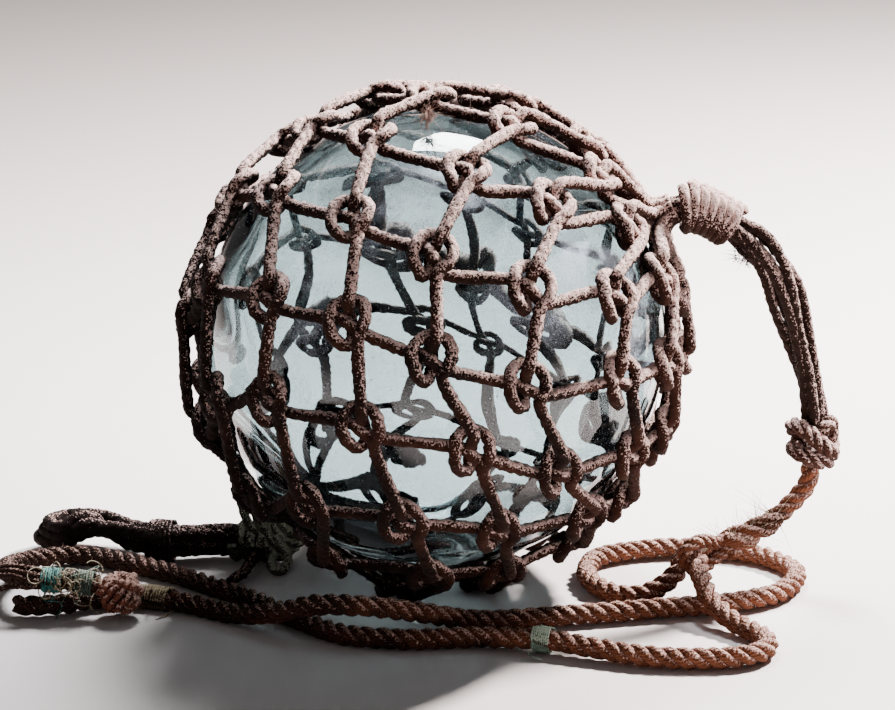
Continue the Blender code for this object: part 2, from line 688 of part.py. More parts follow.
build_glass_ball()
(upper_top, upper_pole), (lower_top, lower_pole) = build_net()
becket_route, becket_path = build_upper_becket(upper_top, upper_pole)
build_upper_collar(becket_route)
knot_path = build_line_knot(becket_path)
build_lower_becket(lower_top, lower_pole)
build_hanging_line(knot_path)
line_curve("front_line", metres(FRONT_ROUTE), LINE_DIAMETER, "laid_line", LINE_STEP)
line_curve("back_line", metres(BACK_ROUTE), LINE_DIAMETER, "laid_line", LINE_STEP)
build_seizings()
build_frayed_knot()
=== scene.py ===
# %% [markdown]
# A netted glass fishing float, looked at from the front and a little above.
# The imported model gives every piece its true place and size. This script gives the pieces their looks: a
# thin blown glass shell, hand-knotted tarred cord, whipped beckets and a three-strand line on the floor.
# Everything is in metres, with +Z up and the float standing on z = 0.

import math

import bpy
import numpy as np
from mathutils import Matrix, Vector


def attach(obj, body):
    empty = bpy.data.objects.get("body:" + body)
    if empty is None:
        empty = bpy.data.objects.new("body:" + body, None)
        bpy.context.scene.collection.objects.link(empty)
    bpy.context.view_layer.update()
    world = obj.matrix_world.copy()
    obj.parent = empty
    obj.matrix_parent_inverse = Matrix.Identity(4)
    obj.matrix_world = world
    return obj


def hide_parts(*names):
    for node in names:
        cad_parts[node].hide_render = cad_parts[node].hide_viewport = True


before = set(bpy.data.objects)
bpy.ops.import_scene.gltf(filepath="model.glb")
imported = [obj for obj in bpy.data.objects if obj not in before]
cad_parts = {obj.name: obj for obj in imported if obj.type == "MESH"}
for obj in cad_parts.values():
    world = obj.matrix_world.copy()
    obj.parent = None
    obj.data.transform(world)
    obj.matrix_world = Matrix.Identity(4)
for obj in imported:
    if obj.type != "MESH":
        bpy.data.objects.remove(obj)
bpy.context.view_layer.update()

# %% [markdown]
# The camera stands 1.3 m in front of the float and looks down on it by 15 degrees. A long lens keeps the
# ball round. It comes first, because the line's free length is judged against what the camera sees.

# %% The camera
BALL_HEIGHT = 0.1434
CAMERA_PLACE = (0.0069, -1.3065, 0.4828)
LOOK_DOWN = math.radians(15)
LENS_MM = 98.33
SENSOR_MM = 36


def linked(name, data):
    """A new object for some data, put into the scene."""
    new = bpy.data.objects.new(name, data)
    bpy.context.collection.objects.link(new)
    return new


camera_data = bpy.data.cameras.new("camera")
camera_data.lens = LENS_MM
camera_data.sensor_width = SENSOR_MM
camera = linked("camera", camera_data)
camera.location = CAMERA_PLACE
camera.rotation_euler = (math.pi / 2 - LOOK_DOWN, 0, 0)
bpy.context.scene.camera = camera
print("camera lens", camera_data.lens)

# %% [markdown]
# Cords are all made the same way. A route is a short list of given points. A smooth curve runs
# through them, a frame of two directions is carried along it, and rings of points round it make a tube.
# The frame is taken from a guide direction, such as straight up for a line on the floor, so that it
# needs no stepping from ring to ring and the whole tube is worked out in one go.

# %% Curves through points


def metres(route):
    """A route given in millimetres, as an array in metres."""
    return np.array(route, float) / 1000


def smooth_route(points, step):
    """Evenly spaced points on a smooth cubic through the given ones.

    Between a and b the place is a blend of the two places and the two slopes, with the weights
    2t^3 - 3t^2 + 1, 3t^2 - 2t^3, t^3 - 2t^2 + t and t^3 - t^2. Each slope is the chord of its neighbours.
    """
    points = np.asarray(points, float)
    ends = np.vstack([2 * points[0] - points[1], points, 2 * points[-1] - points[-2]])
    chords = np.linalg.norm(np.diff(ends, axis=0), axis=1)[:, None]
    slopes = (ends[2:] - ends[:-2]) / (chords[1:] + chords[:-1])
    t = np.linspace(0, 1, 24, endpoint=False)[None, :, None]
    a, b = points[:-1, None], points[1:, None]
    span = chords[1:-1, None]
    out, into = slopes[:-1, None] * span, slopes[1:, None] * span
    curve = (2 * t**3 - 3 * t**2 + 1) * a + (t**3 - 2 * t**2 + t) * out
    curve = curve + (3 * t**2 - 2 * t**3) * b + (t**3 - t**2) * into
    curve = np.vstack([curve.reshape(-1, 3), points[-1:]])
    along = distances(curve)
    at = np.linspace(0, along[-1], max(2, round(along[-1] / step)) + 1)
    return along_curve(curve, at)


def distances(path):
    """Distance of every point of a path from its start, along the path."""
    return np.concatenate([[0], np.cumsum(np.linalg.norm(np.diff(path, axis=0), axis=1))])


def along_curve(path, at):
    """Points of a path at given distances from its start."""
    own = distances(path)
    return np.stack([np.interp(at, own, path[:, k]) for k in range(3)], axis=1)


def unit(vectors):
    """Vectors scaled to length one."""
    return vectors / np.maximum(np.linalg.norm(vectors, axis=-1, keepdims=True), 1e-12)


def frames(path, guide):
    """Tangent, side and cover directions: the side is the guide less its share along the tangent."""
    tangent = unit(np.gradient(path, axis=0))
    guide = np.broadcast_to(np.asarray(guide, float), path.shape)
    side = unit(guide - tangent * (guide * tangent).sum(axis=1, keepdims=True))
    return tangent, side, np.cross(tangent, side)


UP, ASIDE = (0, 0, 1), (0, 1, 0)
print("route helpers ready")

# %% [markdown]
# A tube is a grid: one number runs along the cord and one runs round it. The grid closes round the cord,
# and a cap closes each end. Each point also stores how far along and how far round it lies, because the
# finish needs both to lay its yarns at the right slant.

# %% Tubes from paths
rng = np.random.default_rng(7)
FLOOR_GAP = 0.0003
CORD_SIDES = 12


def smooth_piece(name, points, faces, material):
    """A smooth mesh object with one finish."""
    mesh = bpy.data.meshes.new(name)
    mesh.from_pydata(points.tolist(), [], faces)
    mesh.shade_smooth()
    mesh.materials.append(material)
    print(name, "faces", len(faces))
    return linked(name, mesh)


class Cordage:
    """Collects tubes, and makes one mesh object of them."""

    def __init__(self):
        self.points, self.quads, self.caps, self.uvs = [], [], [], []
        self.count = 0

    def tube(self, path, radius, sides, guide, ribs=3, rib=0.0, lay=0.02, rough=0.0, turn=0.0):
        """Adds a tube: radius * (1 + rib * (|cos(ribs/2 * (angle - slant))| - 0.6) + rough * chance)."""
        _, side, cover = frames(path, guide)
        count = len(path)
        along = distances(path)
        angle = np.linspace(0, 2 * math.pi, sides, endpoint=False)[None, :]
        slant = (2 * math.pi * along / lay + turn)[:, None]
        radius = np.broadcast_to(radius, count)[:, None]
        reach = radius * (1 + rib * (np.abs(np.cos(ribs / 2 * (angle - slant))) - 0.6))
        reach = reach + radius * rough * np.clip(rng.normal(size=(count, sides)), -2, 2)
        ring = np.cos(angle)[:, :, None] * side[:, None] + np.sin(angle)[:, :, None] * cover[:, None]
        self.grid(path[:, None] + reach[:, :, None] * ring, along, 2 * math.pi * radius.mean())

    def grid(self, points, along, girth):
        """Adds a closed-round grid of points, with its two end caps and its stored lay."""
        count, sides = points.shape[:2]
        first = self.count
        i = np.arange(count - 1)[:, None]
        j = np.arange(sides)[None, :]
        a, b = i * sides + j, i * sides + (j + 1) % sides
        self.quads.append(np.stack([a, b, b + sides, a + sides], axis=-1).reshape(-1, 4) + first)
        round_share = np.stack([j, j + 1, j + 1, j], axis=-1) / sides * girth
        rows = np.stack([i, i, i + 1, i + 1], axis=-1)
        pair = np.broadcast_arrays(round_share, along[rows])
        self.uvs.append(np.stack(pair, axis=-1).reshape(-1, 2))
        self.points.append(points.reshape(-1, 3))
        last = first + (count - 1) * sides
        self.caps.append(list(range(first + sides - 1, first - 1, -1)))
        self.caps.append(list(range(last, last + sides)))
        self.count += count * sides

    def build(self, name, material):
        """The mesh object of all tubes so far, with nothing lower than the floor."""
        points = np.concatenate(self.points)
        points[:, 2] = np.maximum(points[:, 2], FLOOR_GAP)
        piece = smooth_piece(name, points, np.concatenate(self.quads).tolist() + self.caps, material)
        lay = np.zeros((len(piece.data.loops), 2))
        uvs = np.concatenate(self.uvs)
        lay[: len(uvs)] = uvs
        piece.data.uv_layers.new(name="lay").data.foreach_set("uv", lay.ravel())
        return piece


def settle(piece, slot, *nodes):
    """Makes a finished piece ride with the float, and stand for the nodes whose place it takes."""
    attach(piece, "root")
    if nodes:
        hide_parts(*nodes)
    return piece


# %% [markdown]
# A finish is a small net of nodes. These helpers add a node, feed it and give back the socket that carries
# its answer, so that a formula in nodes can be written much like a formula in numbers.

# %% Wiring of finishes


def new_group(name, inputs, outputs):
    """An empty node group with named sockets."""
    group = bpy.data.node_groups.new(name, "ShaderNodeTree")
    for label, kind, value in inputs:
        socket = group.interface.new_socket(name=label, in_out="INPUT", socket_type=kind)
        socket.default_value = value
    for label, kind in outputs:
        group.interface.new_socket(name=label, in_out="OUTPUT", socket_type=kind)
    return group


class Wiring:
    """Short ways to add and join nodes in one tree."""

    def __init__(self, tree):
        self.tree = tree

    def add(self, kind, **settings):
        node = self.tree.nodes.new(kind)
        for key, value in settings.items():
            setattr(node, key, value)
        return node

    def join(self, source, target):
        self.tree.links.new(source, target)

    def feed(self, target, value):
        if hasattr(value, "is_output"):
            self.join(value, target)
        else:
            target.default_value = value

    def maths(self, operation, a, b=0.5, clamp=False):
        node = self.add("ShaderNodeMath", operation=operation, use_clamp=clamp)
        self.feed(node.inputs[0], a)
        self.feed(node.inputs[1], b)
        return node.outputs[0]

    def mix(self, share, a, b, blend="MIX"):
        node = self.add("ShaderNodeMix", data_type="RGBA", blend_type=blend)
        self.feed(node.inputs["Factor"], share)
        self.feed(node.inputs["A"], a)
        self.feed(node.inputs["B"], b)
        return node.outputs["Result"]

    def ramp(self, value, low, high):
        node = self.add("ShaderNodeMapRange", interpolation_type="SMOOTHSTEP")
        self.feed(node.inputs["Value"], value)
        node.inputs["From Min"].default_value = low
        node.inputs["From Max"].default_value = high
        return node.outputs["Result"]

    def noise(self, vector, scale, detail=3.0, rough=0.6):
        node = self.add("ShaderNodeTexNoise")
        self.join(vector, node.inputs["Vector"])
        node.inputs["Scale"].default_value = scale
        node.inputs["Detail"].default_value = detail
        node.inputs["Roughness"].default_value = rough
        return node.outputs["Fac"]

    def total(self, *terms):
        """The sum of value times weight over all terms."""
        whole = 0.0
        for value, weight in terms:
            whole = self.maths("ADD", self.maths("MULTIPLY", value, weight), whole)
        return whole

    def split(self, vector):
        """A vector's X, Y and Z."""
        node = self.add("ShaderNodeSeparateXYZ")
        self.join(vector, node.inputs[0])
        return node.outputs

    def vector(self, operation, a, b=(0, 0, 0)):
        """The outputs of a sum or product of vectors."""
        node = self.add("ShaderNodeVectorMath", operation=operation)
        self.feed(node.inputs[0], a)
        self.feed(node.inputs[1], b)
        return node.outputs

    def bump(self, height, strength, distance):
        """The surface's direction, tipped as by a height."""
        node = self.add("ShaderNodeBump")
        node.inputs["Strength"].default_value = strength
        node.inputs["Distance"].default_value = distance
        self.join(height, node.inputs["Height"])
        return node.outputs["Normal"]


def new_material(name):
    """A material, its shader and the wiring of its tree."""
    material = bpy.data.materials.new(name)
    material.use_nodes = True
    return material, material.node_tree.nodes["Principled BSDF"], Wiring(material.node_tree)


print("wiring ready")

# %% [markdown]
# Tarred cord is nearly black, rusty in places, and wears a crust of pale salt and dust on the sides that
# face up and out, which are also the lit sides, but not where the net lies on the glass. Painted light is
# laid into the same finish: the pale crust also grows on the sides that face right, toward the key lamp,
# and towards the top and the right of the float, and the rust colour darkens towards the left, as painted
# shade. One node group makes that finish for every cord. It reads the object's own coordinates for the
# blotches, the grains and the painted light across the float, the stored lay for the slanting yarns, and
# the surface's direction for where the salt lies and for the painted lit sides. A painted picture would
# have to be unrolled from each cord; this one needs no unrolling. Each cord gives it its own colours.

# %% The cord finish
BLOTCH_SCALE, GRAIN_SCALE, PIT_SCALE = 28, 980, 1900
LEAN_LIMIT = 1.28
CRUST_FROM, CRUST_FULL = 2.92, 3.10


def cord_group():
    """Colour, roughness and height of weathered cord.

    The pale salt lies where the lean, grains and yarns add up to more than a level, and the lean's limit
    leaves pits in it. The lean is partly real and partly painted light: it grows with how far the surface
    faces up, where dust settles and light falls, and as painted light with how far it faces right, toward
    the key lamp, and towards the top and the right of the float, so that the left reads as shaded. The rust
    colour also darkens towards the left of the float, as painted shade.
    """
    group = new_group(
        "weathered and lit cord",
        [
            ("Dark", "NodeSocketColor", (0.02, 0.01, 0.008, 1)),
            ("Warm", "NodeSocketColor", (0.2, 0.07, 0.03, 1)),
            ("Crust", "NodeSocketColor", (0.7, 0.5, 0.45, 1)),
            ("Crust Amount", "NodeSocketFloat", 0.5),
            ("Yarns", "NodeSocketFloat", 300.0),
            ("On Glass", "NodeSocketFloat", 0.0),
        ],
        [("Color", "NodeSocketColor"), ("Roughness", "NodeSocketFloat"), ("Height", "NodeSocketFloat")],
    )
    w = Wiring(group)
    inputs = w.add("NodeGroupInput").outputs
    outputs = w.add("NodeGroupOutput").inputs
    place = w.add("ShaderNodeTexCoord").outputs["Object"]
    normal = w.add("ShaderNodeNewGeometry").outputs["Normal"]
    there, facing = w.split(place), w.split(normal)
    blotch = w.noise(place, BLOTCH_SCALE, 4)
    grains = w.noise(place, GRAIN_SCALE)
    pits = w.noise(place, PIT_SCALE, 2)

    outward = w.vector("NORMALIZE", w.vector("SUBTRACT", place, (0, 0, BALL_HEIGHT))["Vector"])["Vector"]
    away = w.vector("DOT_PRODUCT", outward, normal)["Value"]
    off_glass = w.maths("SUBTRACT", 1.0, inputs["On Glass"])
    uncovered = w.maths("MAXIMUM", w.ramp(away, -0.7, -0.2), off_glass)

    lay = w.split(w.add("ShaderNodeUVMap", uv_map="lay").outputs["UV"])
    slant = w.maths("MULTIPLY", w.maths("ADD", lay["X"], lay["Y"]), inputs["Yarns"])
    wave = w.maths("MULTIPLY_ADD", w.maths("SINE", slant, 0), 0.5)

    # Painted shade: the rust colour darkens towards the left of the float, where the ball's shadow falls; the
    # blotches are real rust.
    rust_and_painted_shade = w.ramp(w.total((blotch, 1), (there["X"], 0.9)), 0.35, 0.68)
    body = w.mix(rust_and_painted_shade, inputs["Dark"], inputs["Warm"])
    body = w.mix(w.maths("MULTIPLY", w.ramp(pits, 0.35, 0.6), 0.5), body, inputs["Dark"])
    # Partly real, partly painted light: facing up is where dust settles and light falls; facing right, toward
    # the key lamp, and the top and right of the float are painted light, the left painted shade.
    lean = w.total((facing["Z"], 1), (facing["X"], 0.5), (there["Z"], 1.5), (there["X"], 1.2), (blotch, 0.5))
    lean = w.maths("MINIMUM", lean, LEAN_LIMIT)
    dust_and_light_level = w.total((lean, 1), (grains, 4), (wave, 0.14), (inputs["Crust Amount"], 1))
    crust_and_lit = w.maths("MULTIPLY", w.ramp(dust_and_light_level, CRUST_FROM, CRUST_FULL), uncovered)
    w.join(w.mix(crust_and_lit, body, inputs["Crust"]), outputs["Color"])
    w.join(w.maths("SUBTRACT", 0.95, w.maths("MULTIPLY", blotch, 0.15)), outputs["Roughness"])
    w.join(w.total((grains, 0.8), (wave, 0.5), (crust_and_lit, 0.3)), outputs["Height"])
    return group


CORD_GROUP = cord_group()
COARSE_YARNS, FINE_YARNS = 900.0, 2400.0
CORD_BUMP, TWINE_BUMP = 0.0011, 0.0003
# The crust's pale pink is partly painted light: the warm pinkish light that falls on the lit cords tints it.
PALE_CRUST = (0.76, 0.52, 0.47)


def cord_material(name, dark, warm, crust_and_lit, amount, yarns=COARSE_YARNS, bump=CORD_BUMP, on_glass=0.0):
    """A weathered cord in its own colours."""
    material, shader, w = new_material(name)
    shader.inputs["Sheen Weight"].default_value = 0.02
    shader.inputs["Specular IOR Level"].default_value = 0.08
    group = w.add("ShaderNodeGroup", node_tree=CORD_GROUP)
    values = {"Dark": (*dark, 1), "Warm": (*warm, 1), "Crust": (*crust_and_lit, 1), "Crust Amount": amount}
    values |= {"Yarns": yarns, "On Glass": on_glass}
    for label, value in values.items():
        group.inputs[label].default_value = value
    w.join(group.outputs["Color"], shader.inputs["Base Color"])
    w.join(group.outputs["Roughness"], shader.inputs["Roughness"])
    w.join(w.bump(group.outputs["Height"], 0.9, bump), shader.inputs["Normal"])
    return material


print("cord finish ready")

# %% [markdown]
# The net's cord is the darkest, and the becket beside it has hardly any crust. The whipping and the lashing
# lie on top and are pale with it. Line, yarns and twines are finer, so their yarns lie closer together.

# %% Finishes of the cords
net_cord = cord_material("tarred net cord", (0.007, 0.003, 0.002), (0.040, 0.013, 0.007),
                         PALE_CRUST, -0.10, on_glass=1.0)
becket_cord = cord_material("becket cord", (0.010, 0.005, 0.004), (0.022, 0.010, 0.007), PALE_CRUST, -0.35)
whipping_cord = cord_material("whipping cord", (0.009, 0.004, 0.003), (0.030, 0.011, 0.006),
                              PALE_CRUST, 0.10)
hitch_finish = cord_material("hitch cord", (0.014, 0.006, 0.005), (0.060, 0.022, 0.013),
                             PALE_CRUST, -0.08, FINE_YARNS)
lashing_cord = cord_material("pale lashing cord", (0.030, 0.032, 0.022), (0.150, 0.165, 0.120),
                             (0.50, 0.53, 0.42), 0.42)
rope_finish = cord_material("laid line", (0.024, 0.010, 0.006), (0.20, 0.064, 0.030),
                            (0.62, 0.39, 0.33), -0.20, FINE_YARNS)
yarn_finish = cord_material("frayed yarn", (0.15, 0.045, 0.026), (0.55, 0.21, 0.11),
                            (0.80, 0.50, 0.42), 0.35, FINE_YARNS)
twine_finish = cord_material("green twine", (0.02, 0.10, 0.09), (0.08, 0.36, 0.31),
                             (0.30, 0.56, 0.50), 0.20, FINE_YARNS, TWINE_BUMP)
faded_twine_finish = cord_material("faded green twine", (0.05, 0.07, 0.055), (0.19, 0.27, 0.21),
                                   (0.46, 0.54, 0.43), 0.25, FINE_YARNS, TWINE_BUMP)
brown_twine_finish = cord_material("brown twine", (0.035, 0.022, 0.012), (0.17, 0.11, 0.055),
                                   (0.48, 0.38, 0.25), 0.25, FINE_YARNS, TWINE_BUMP)
fibre_finish = cord_material("cord fibre", (0.03, 0.014, 0.010), (0.16, 0.06, 0.03), PALE_CRUST, 0.05)
pale_twine_finish = cord_material("pale twine", (0.16, 0.12, 0.07), (0.38, 0.31, 0.20),
                                  (0.76, 0.66, 0.50), 0.40, FINE_YARNS, TWINE_BUMP)
print("cord finishes", len(bpy.data.materials))

# %% [markdown]
# The net's knots lie in ten rings round a bent axis that rises to the upper right. Each ring's angle
# follows from the one before it, because every cord between two knots is one mesh side long. Knots that
# have slipped are nudged to where they lie, and those under the ball are pressed flat on the floor.

# %% Places of the knots
BALL_RADIUS = 0.127
NET_CORD = 0.0065
KNOT_DEPTH = 0.015
KNOT_RADIUS = BALL_RADIUS + 0.001 + KNOT_DEPTH / 2
BALL_CENTRE = np.array([0, 0, BALL_HEIGHT])
KNOTS_ROUND, FIRST_RING, LAST_RING = 9, -5, 4
HALF_STEP = math.pi / KNOTS_ROUND
MIDDLE_RING_ANGLE, MESH_ANGLE, MESH_GROWTH = math.radians(76.5), math.radians(21.97), -0.0195
NET_PHASE, NET_TWIST = math.radians(6.1), math.radians(5.4)
AXIS_SLOPE, AXIS_LEAN = math.radians(42.5), math.radians(5.9)
AXIS_BEND_IN, AXIS_BEND_OUT = math.radians(24), math.radians(12)
SETTLE_BELOW = 0.018
SLIPPED = {
    (0, 0): (-6, 1), (1, 1): (-7, 1), (0, -2): (4, -1), (0, 4): (4, -9), (2, 4): (5, -8),
    (2, -2): (5, -4), (2, 2): (3, 4), (1, 3): (4, 2), (-1, 3): (7, 2), (-1, 1): (0, 4),
    (-2, -2): (4, -5), (-2, 0): (-6, 1), (-3, -1): (-9, 1), (-3, 3): (-1, -5),
    (-4, 2): (7, -1), (4, 2): (5, -2), (3, 3): (3, -5), (-5, 1): (-5, -8),
}


def turned(vector, axis, angle):
    """A vector turned about an axis: v cos a + (axis x v) sin a + axis (axis . v)(1 - cos a)."""
    cosine, sine = math.cos(angle), math.sin(angle)
    return vector * cosine + np.cross(axis, vector) * sine + axis * (axis @ vector) * (1 - cosine)


LEVEL = math.cos(AXIS_LEAN)
ALONG = np.array([LEVEL * math.cos(AXIS_SLOPE), -math.sin(AXIS_LEAN), LEVEL * math.sin(AXIS_SLOPE)])
VIEW = np.array([0, -math.cos(LOOK_DOWN), math.sin(LOOK_DOWN)])
FRONT = unit(VIEW - ALONG * (VIEW @ ALONG))
ACROSS = np.cross(ALONG, FRONT)


def on_net(angle, around):
    """Direction from the ball's centre at an angle from the upper pole, on the bent axis."""
    share = angle / math.pi - 0.5
    outward = FRONT * math.cos(around) + ACROSS * math.sin(around)
    straight = ALONG * math.cos(angle) + outward * math.sin(angle)
    return turned(turned(straight, ACROSS, AXIS_BEND_OUT * share), FRONT, AXIS_BEND_IN * share)


def ring_angles():
    """Angle of each ring: side^2 = (ring to ring)^2 + (half a step round at their middle)^2."""
    angles = {0: MIDDLE_RING_ANGLE}
    for way, last in ((1, LAST_RING), (-1, -FIRST_RING)):
        angle = MIDDLE_RING_ANGLE
        for n in range(1, last + 1):
            side = MESH_ANGLE * (1 + way * MESH_GROWTH * (n - 0.5))
            middle = angle
            for _ in range(8):
                step = math.sqrt(side**2 - (math.sin(middle) * HALF_STEP) ** 2)
                middle = angle - way * step / 2
            angle -= way * step
            angles[way * n] = angle
    return angles


def wrapped(step):
    """A half-step round the ball, brought back into one turn."""
    return (step + KNOTS_ROUND - 1) % (2 * KNOTS_ROUND) - KNOTS_ROUND + 1


places = {}
for ring, angle in ring_angles().items():
    for n in range(KNOTS_ROUND):
        step = 2 * n - KNOTS_ROUND + 1 + ring % 2
        around = HALF_STEP * step + NET_PHASE + NET_TWIST * (angle - math.pi / 2)
        right, up = SLIPPED.get((ring, step), (0, 0))
        place = unit(on_net(angle, around) * KNOT_RADIUS + np.array([right, 0, up]) / 1000)
        place = BALL_CENTRE + place * KNOT_RADIUS
        if place[2] < SETTLE_BELOW:
            place[2] = KNOT_DEPTH / 2
        places[ring, step] = place
UPPER_POLE, LOWER_POLE = on_net(0, 0), on_net(math.pi, 0)
print("knots", len(places), "poles", UPPER_POLE.round(3), LOWER_POLE.round(3))

# %% [markdown]
# Each knot is tied by two cords that run on from pole to pole. One comes from above, dives through its own
# ring, turns up round the ring and leaves below. The other comes from the left, slips under the ring, shows
# in its middle and leaves at the lower right. Their routes are given once, in millimetres right, up and
# outward from the knot's middle, and each of the ninety knots places them in its own directions. The
# cords are then smooth curves through all their knots, with a little chance in each, as tied by hand.

# %% Knots and cords of the net
LOOPED = metres([
    (0.6, 9.6, 4.0), (0, 4.2, 1.4), (0.3, -2, -3.4), (0.8, -8, -3.9), (-0.8, -12.2, -1.2),
    (-4.8, -11.2, 2.4), (-8.2, -6, 3.7), (-9.2, 0.5, 3.2), (-7, 6.6, 0.4), (-1, 9.6, -2.7), (5.6, 8, -0.8),
    (9, 2.4, 2.2), (8.6, -4, 3.8), (6, -10, 2.6),
])
THROUGH = metres([
    (-10.5, 0.4, -2.8), (-4.2, -0.2, -0.6), (0.2, -2.4, 2.2), (4.4, -5.0, 1.0), (9.5, -7.2, -2.6),
])
NET_STEP = 0.0015
KNOT_SIZE, KNOT_SIZE_CHANCE, KNOT_LEAN_CHANCE, KNOT_PLACE_CHANCE = 1.05, 0.05, 0.10, 0.00035


def neighbour(ring, step, ring_way, step_way):
    """The place of the knot next to one, or None past the last ring."""
    return places.get((ring + ring_way, wrapped(step + step_way)))


def difference(far, near, here):
    """From one neighbour to the other, or only from the one that there is."""
    if far is None:
        return here - near
    if near is None:
        return far - here
    return far - near


def knot_points(ring, step, local):
    """A knot's cord route: its place plus right, up and outward shares of its own directions."""
    here = places[ring, step]
    outward = unit(here - BALL_CENTRE)
    if here[2] <= KNOT_DEPTH / 2 + 1e-6:
        outward = np.array([0, 0, -1.0])
    up = difference(neighbour(ring, step, 1, -1), neighbour(ring, step, -1, 1), here)
    right = difference(neighbour(ring, step, 1, 1), neighbour(ring, step, -1, -1), here)
    level = unit(right - outward * (right @ outward))
    rise = unit(up - outward * (up @ outward))
    rise = unit(rise + unit(np.cross(outward, level)))
    level = np.cross(rise, outward)
    chance = np.random.default_rng(1000 + 40 * ring + step)
    lean = chance.normal(0, KNOT_LEAN_CHANCE)
    size = KNOT_SIZE + chance.uniform(-KNOT_SIZE_CHANCE, KNOT_SIZE_CHANCE)
    x, y, z = (local + chance.normal(0, KNOT_PLACE_CHANCE, local.shape)).T
    cosine, sine = size * math.cos(lean), size * math.sin(lean)
    across, along = x * cosine - y * sine, x * sine + y * cosine
    return here + np.outer(across, level) + np.outer(along, rise) + np.outer(z, outward)


def gathered(pole, toward, layer):
    """The end of a cord at a pole: in over the ball, then up along the pole.

    The profile gives distances from the pole's axis and, along that axis, from the ball's centre.
    """
    spoke = unit(toward - BALL_CENTRE - pole * ((toward - BALL_CENTRE) @ pole))
    if layer:
        profile = metres([(21, 136), (14, 136.8), (9.5, 138.8), (6.6, 143), (5.6, 149)])
    else:
        profile = metres([(21, 130.4), (14, 131), (9, 132.4), (4, 134.5)])
    return BALL_CENTRE + np.outer(profile[:, 0], spoke) + np.outer(profile[:, 1], pole)


def cord_route(start_step, way):
    """One cord's whole route, from the upper gather to the lower one, by the knots that it goes through."""
    local = LOOPED if way > 0 else THROUGH[::-1]
    rings = range(LAST_RING, FIRST_RING - 1, -1)
    steps = [wrapped(start_step + way * (LAST_RING - ring)) for ring in rings]
    knots = [knot_points(ring, step, local) for ring, step in zip(rings, steps)]
    first = gathered(UPPER_POLE, knots[0][0], way > 0)[::-1]
    last = gathered(LOWER_POLE, knots[-1][-1], way < 0)
    return np.vstack([first, *knots, last])


net_steps = sorted(step for ring, step in places if ring == LAST_RING)
net_pieces = []
for part, way in (("net_down_cords", 1), ("net_cross_cords", -1)):
    cordage = Cordage()
    for step in net_steps:
        route = smooth_route(cord_route(step, way), NET_STEP)
        outward = unit(route - BALL_CENTRE)
        wander = 1 + 0.05 * np.sin(distances(route) * 180 + step)
        cordage.tube(route, NET_CORD / 2 * wander, CORD_SIDES, outward, rib=0.13, lay=0.017, rough=0.075)
    net_pieces.append(settle(cordage.build(part, net_cord), "tarred_net_cord", "net"))

# %% [markdown]
# At the upper pole the cords gather into a neck. It is whipped round with seven turns of thicker cord, and
# the same cords come out of the whipping as the becket, a loose bundle that hangs beside the ball.
# Turns are a helix round the neck's own curve, and the bundle is seven curves that keep their places
# round it while the whole slowly twists.

# %% Upper collar and becket
NECK_RISE, NECK_GAP = 0.00495, 0.0009
GATHER_TOP = KNOT_RADIUS + NECK_RISE + NECK_GAP
COLLAR_START, COLLAR_END = 0.012, 0.046
COLLAR_TURNS, COLLAR_CORD_RADIUS = 6.9, 0.0030
STRAIGHT_OUT = 0.006
upper_start = BALL_CENTRE + UPPER_POLE * GATHER_TOP
UPPER_BECKET_ROUTE = metres([
    (13.5, 0, 4.6), (22.5, 0, 2.6), (32.5, 0.5, -2.2), (42, 1, -9), (52, 1, -18), (61, 1.5, -30),
    (69, 2, -45), (76, 2, -65), (82.5, 2, -88), (86, 2, -105), (87.5, 2, -113.5),
])
becket_route = np.vstack([
    upper_start, upper_start + UPPER_POLE * STRAIGHT_OUT, upper_start + UPPER_BECKET_ROUTE,
])


def wound(path, radius, turns, guide, first_turn=0.0):
    """A helix round a path: radius * (cos a * side + sin a * cover), with a from 0 to all its turns."""
    _, side, cover = frames(path, guide)
    angle = np.linspace(0, 2 * math.pi * turns, len(path))[:, None] + first_turn
    radius = np.broadcast_to(radius, len(path))[:, None]
    return path + radius * (np.cos(angle) * side + np.sin(angle) * cover)


def bundled(cordage, path, radii, cord_radius, count, twist, guide, seed, rough):
    """Cords side by side round a path, each at its own angle and with its own slow wander in and out."""
    chance = np.random.default_rng(seed)
    _, side, cover = frames(path, guide)
    share = np.linspace(0, 1, len(path))
    for n in range(count):
        sway = 0.30 * np.sin(6 * share + chance.uniform(0, 6))
        angle = 2 * math.pi * n / (count - 1) + twist * share + sway
        out = (radii - cord_radius) * (0.90 + 0.18 * np.sin(11 * share + chance.uniform(0, 6)))
        if n == count - 1:
            out = out * 0.15
        lane = path + (out * np.cos(angle))[:, None] * side + (out * np.sin(angle))[:, None] * cover
        wide = cord_radius * (1 + 0.06 * np.sin(distances(path) * 90 + n))
        cordage.tube(lane, wide, CORD_SIDES, guide, rib=0.16, lay=0.024, rough=rough, turn=n)


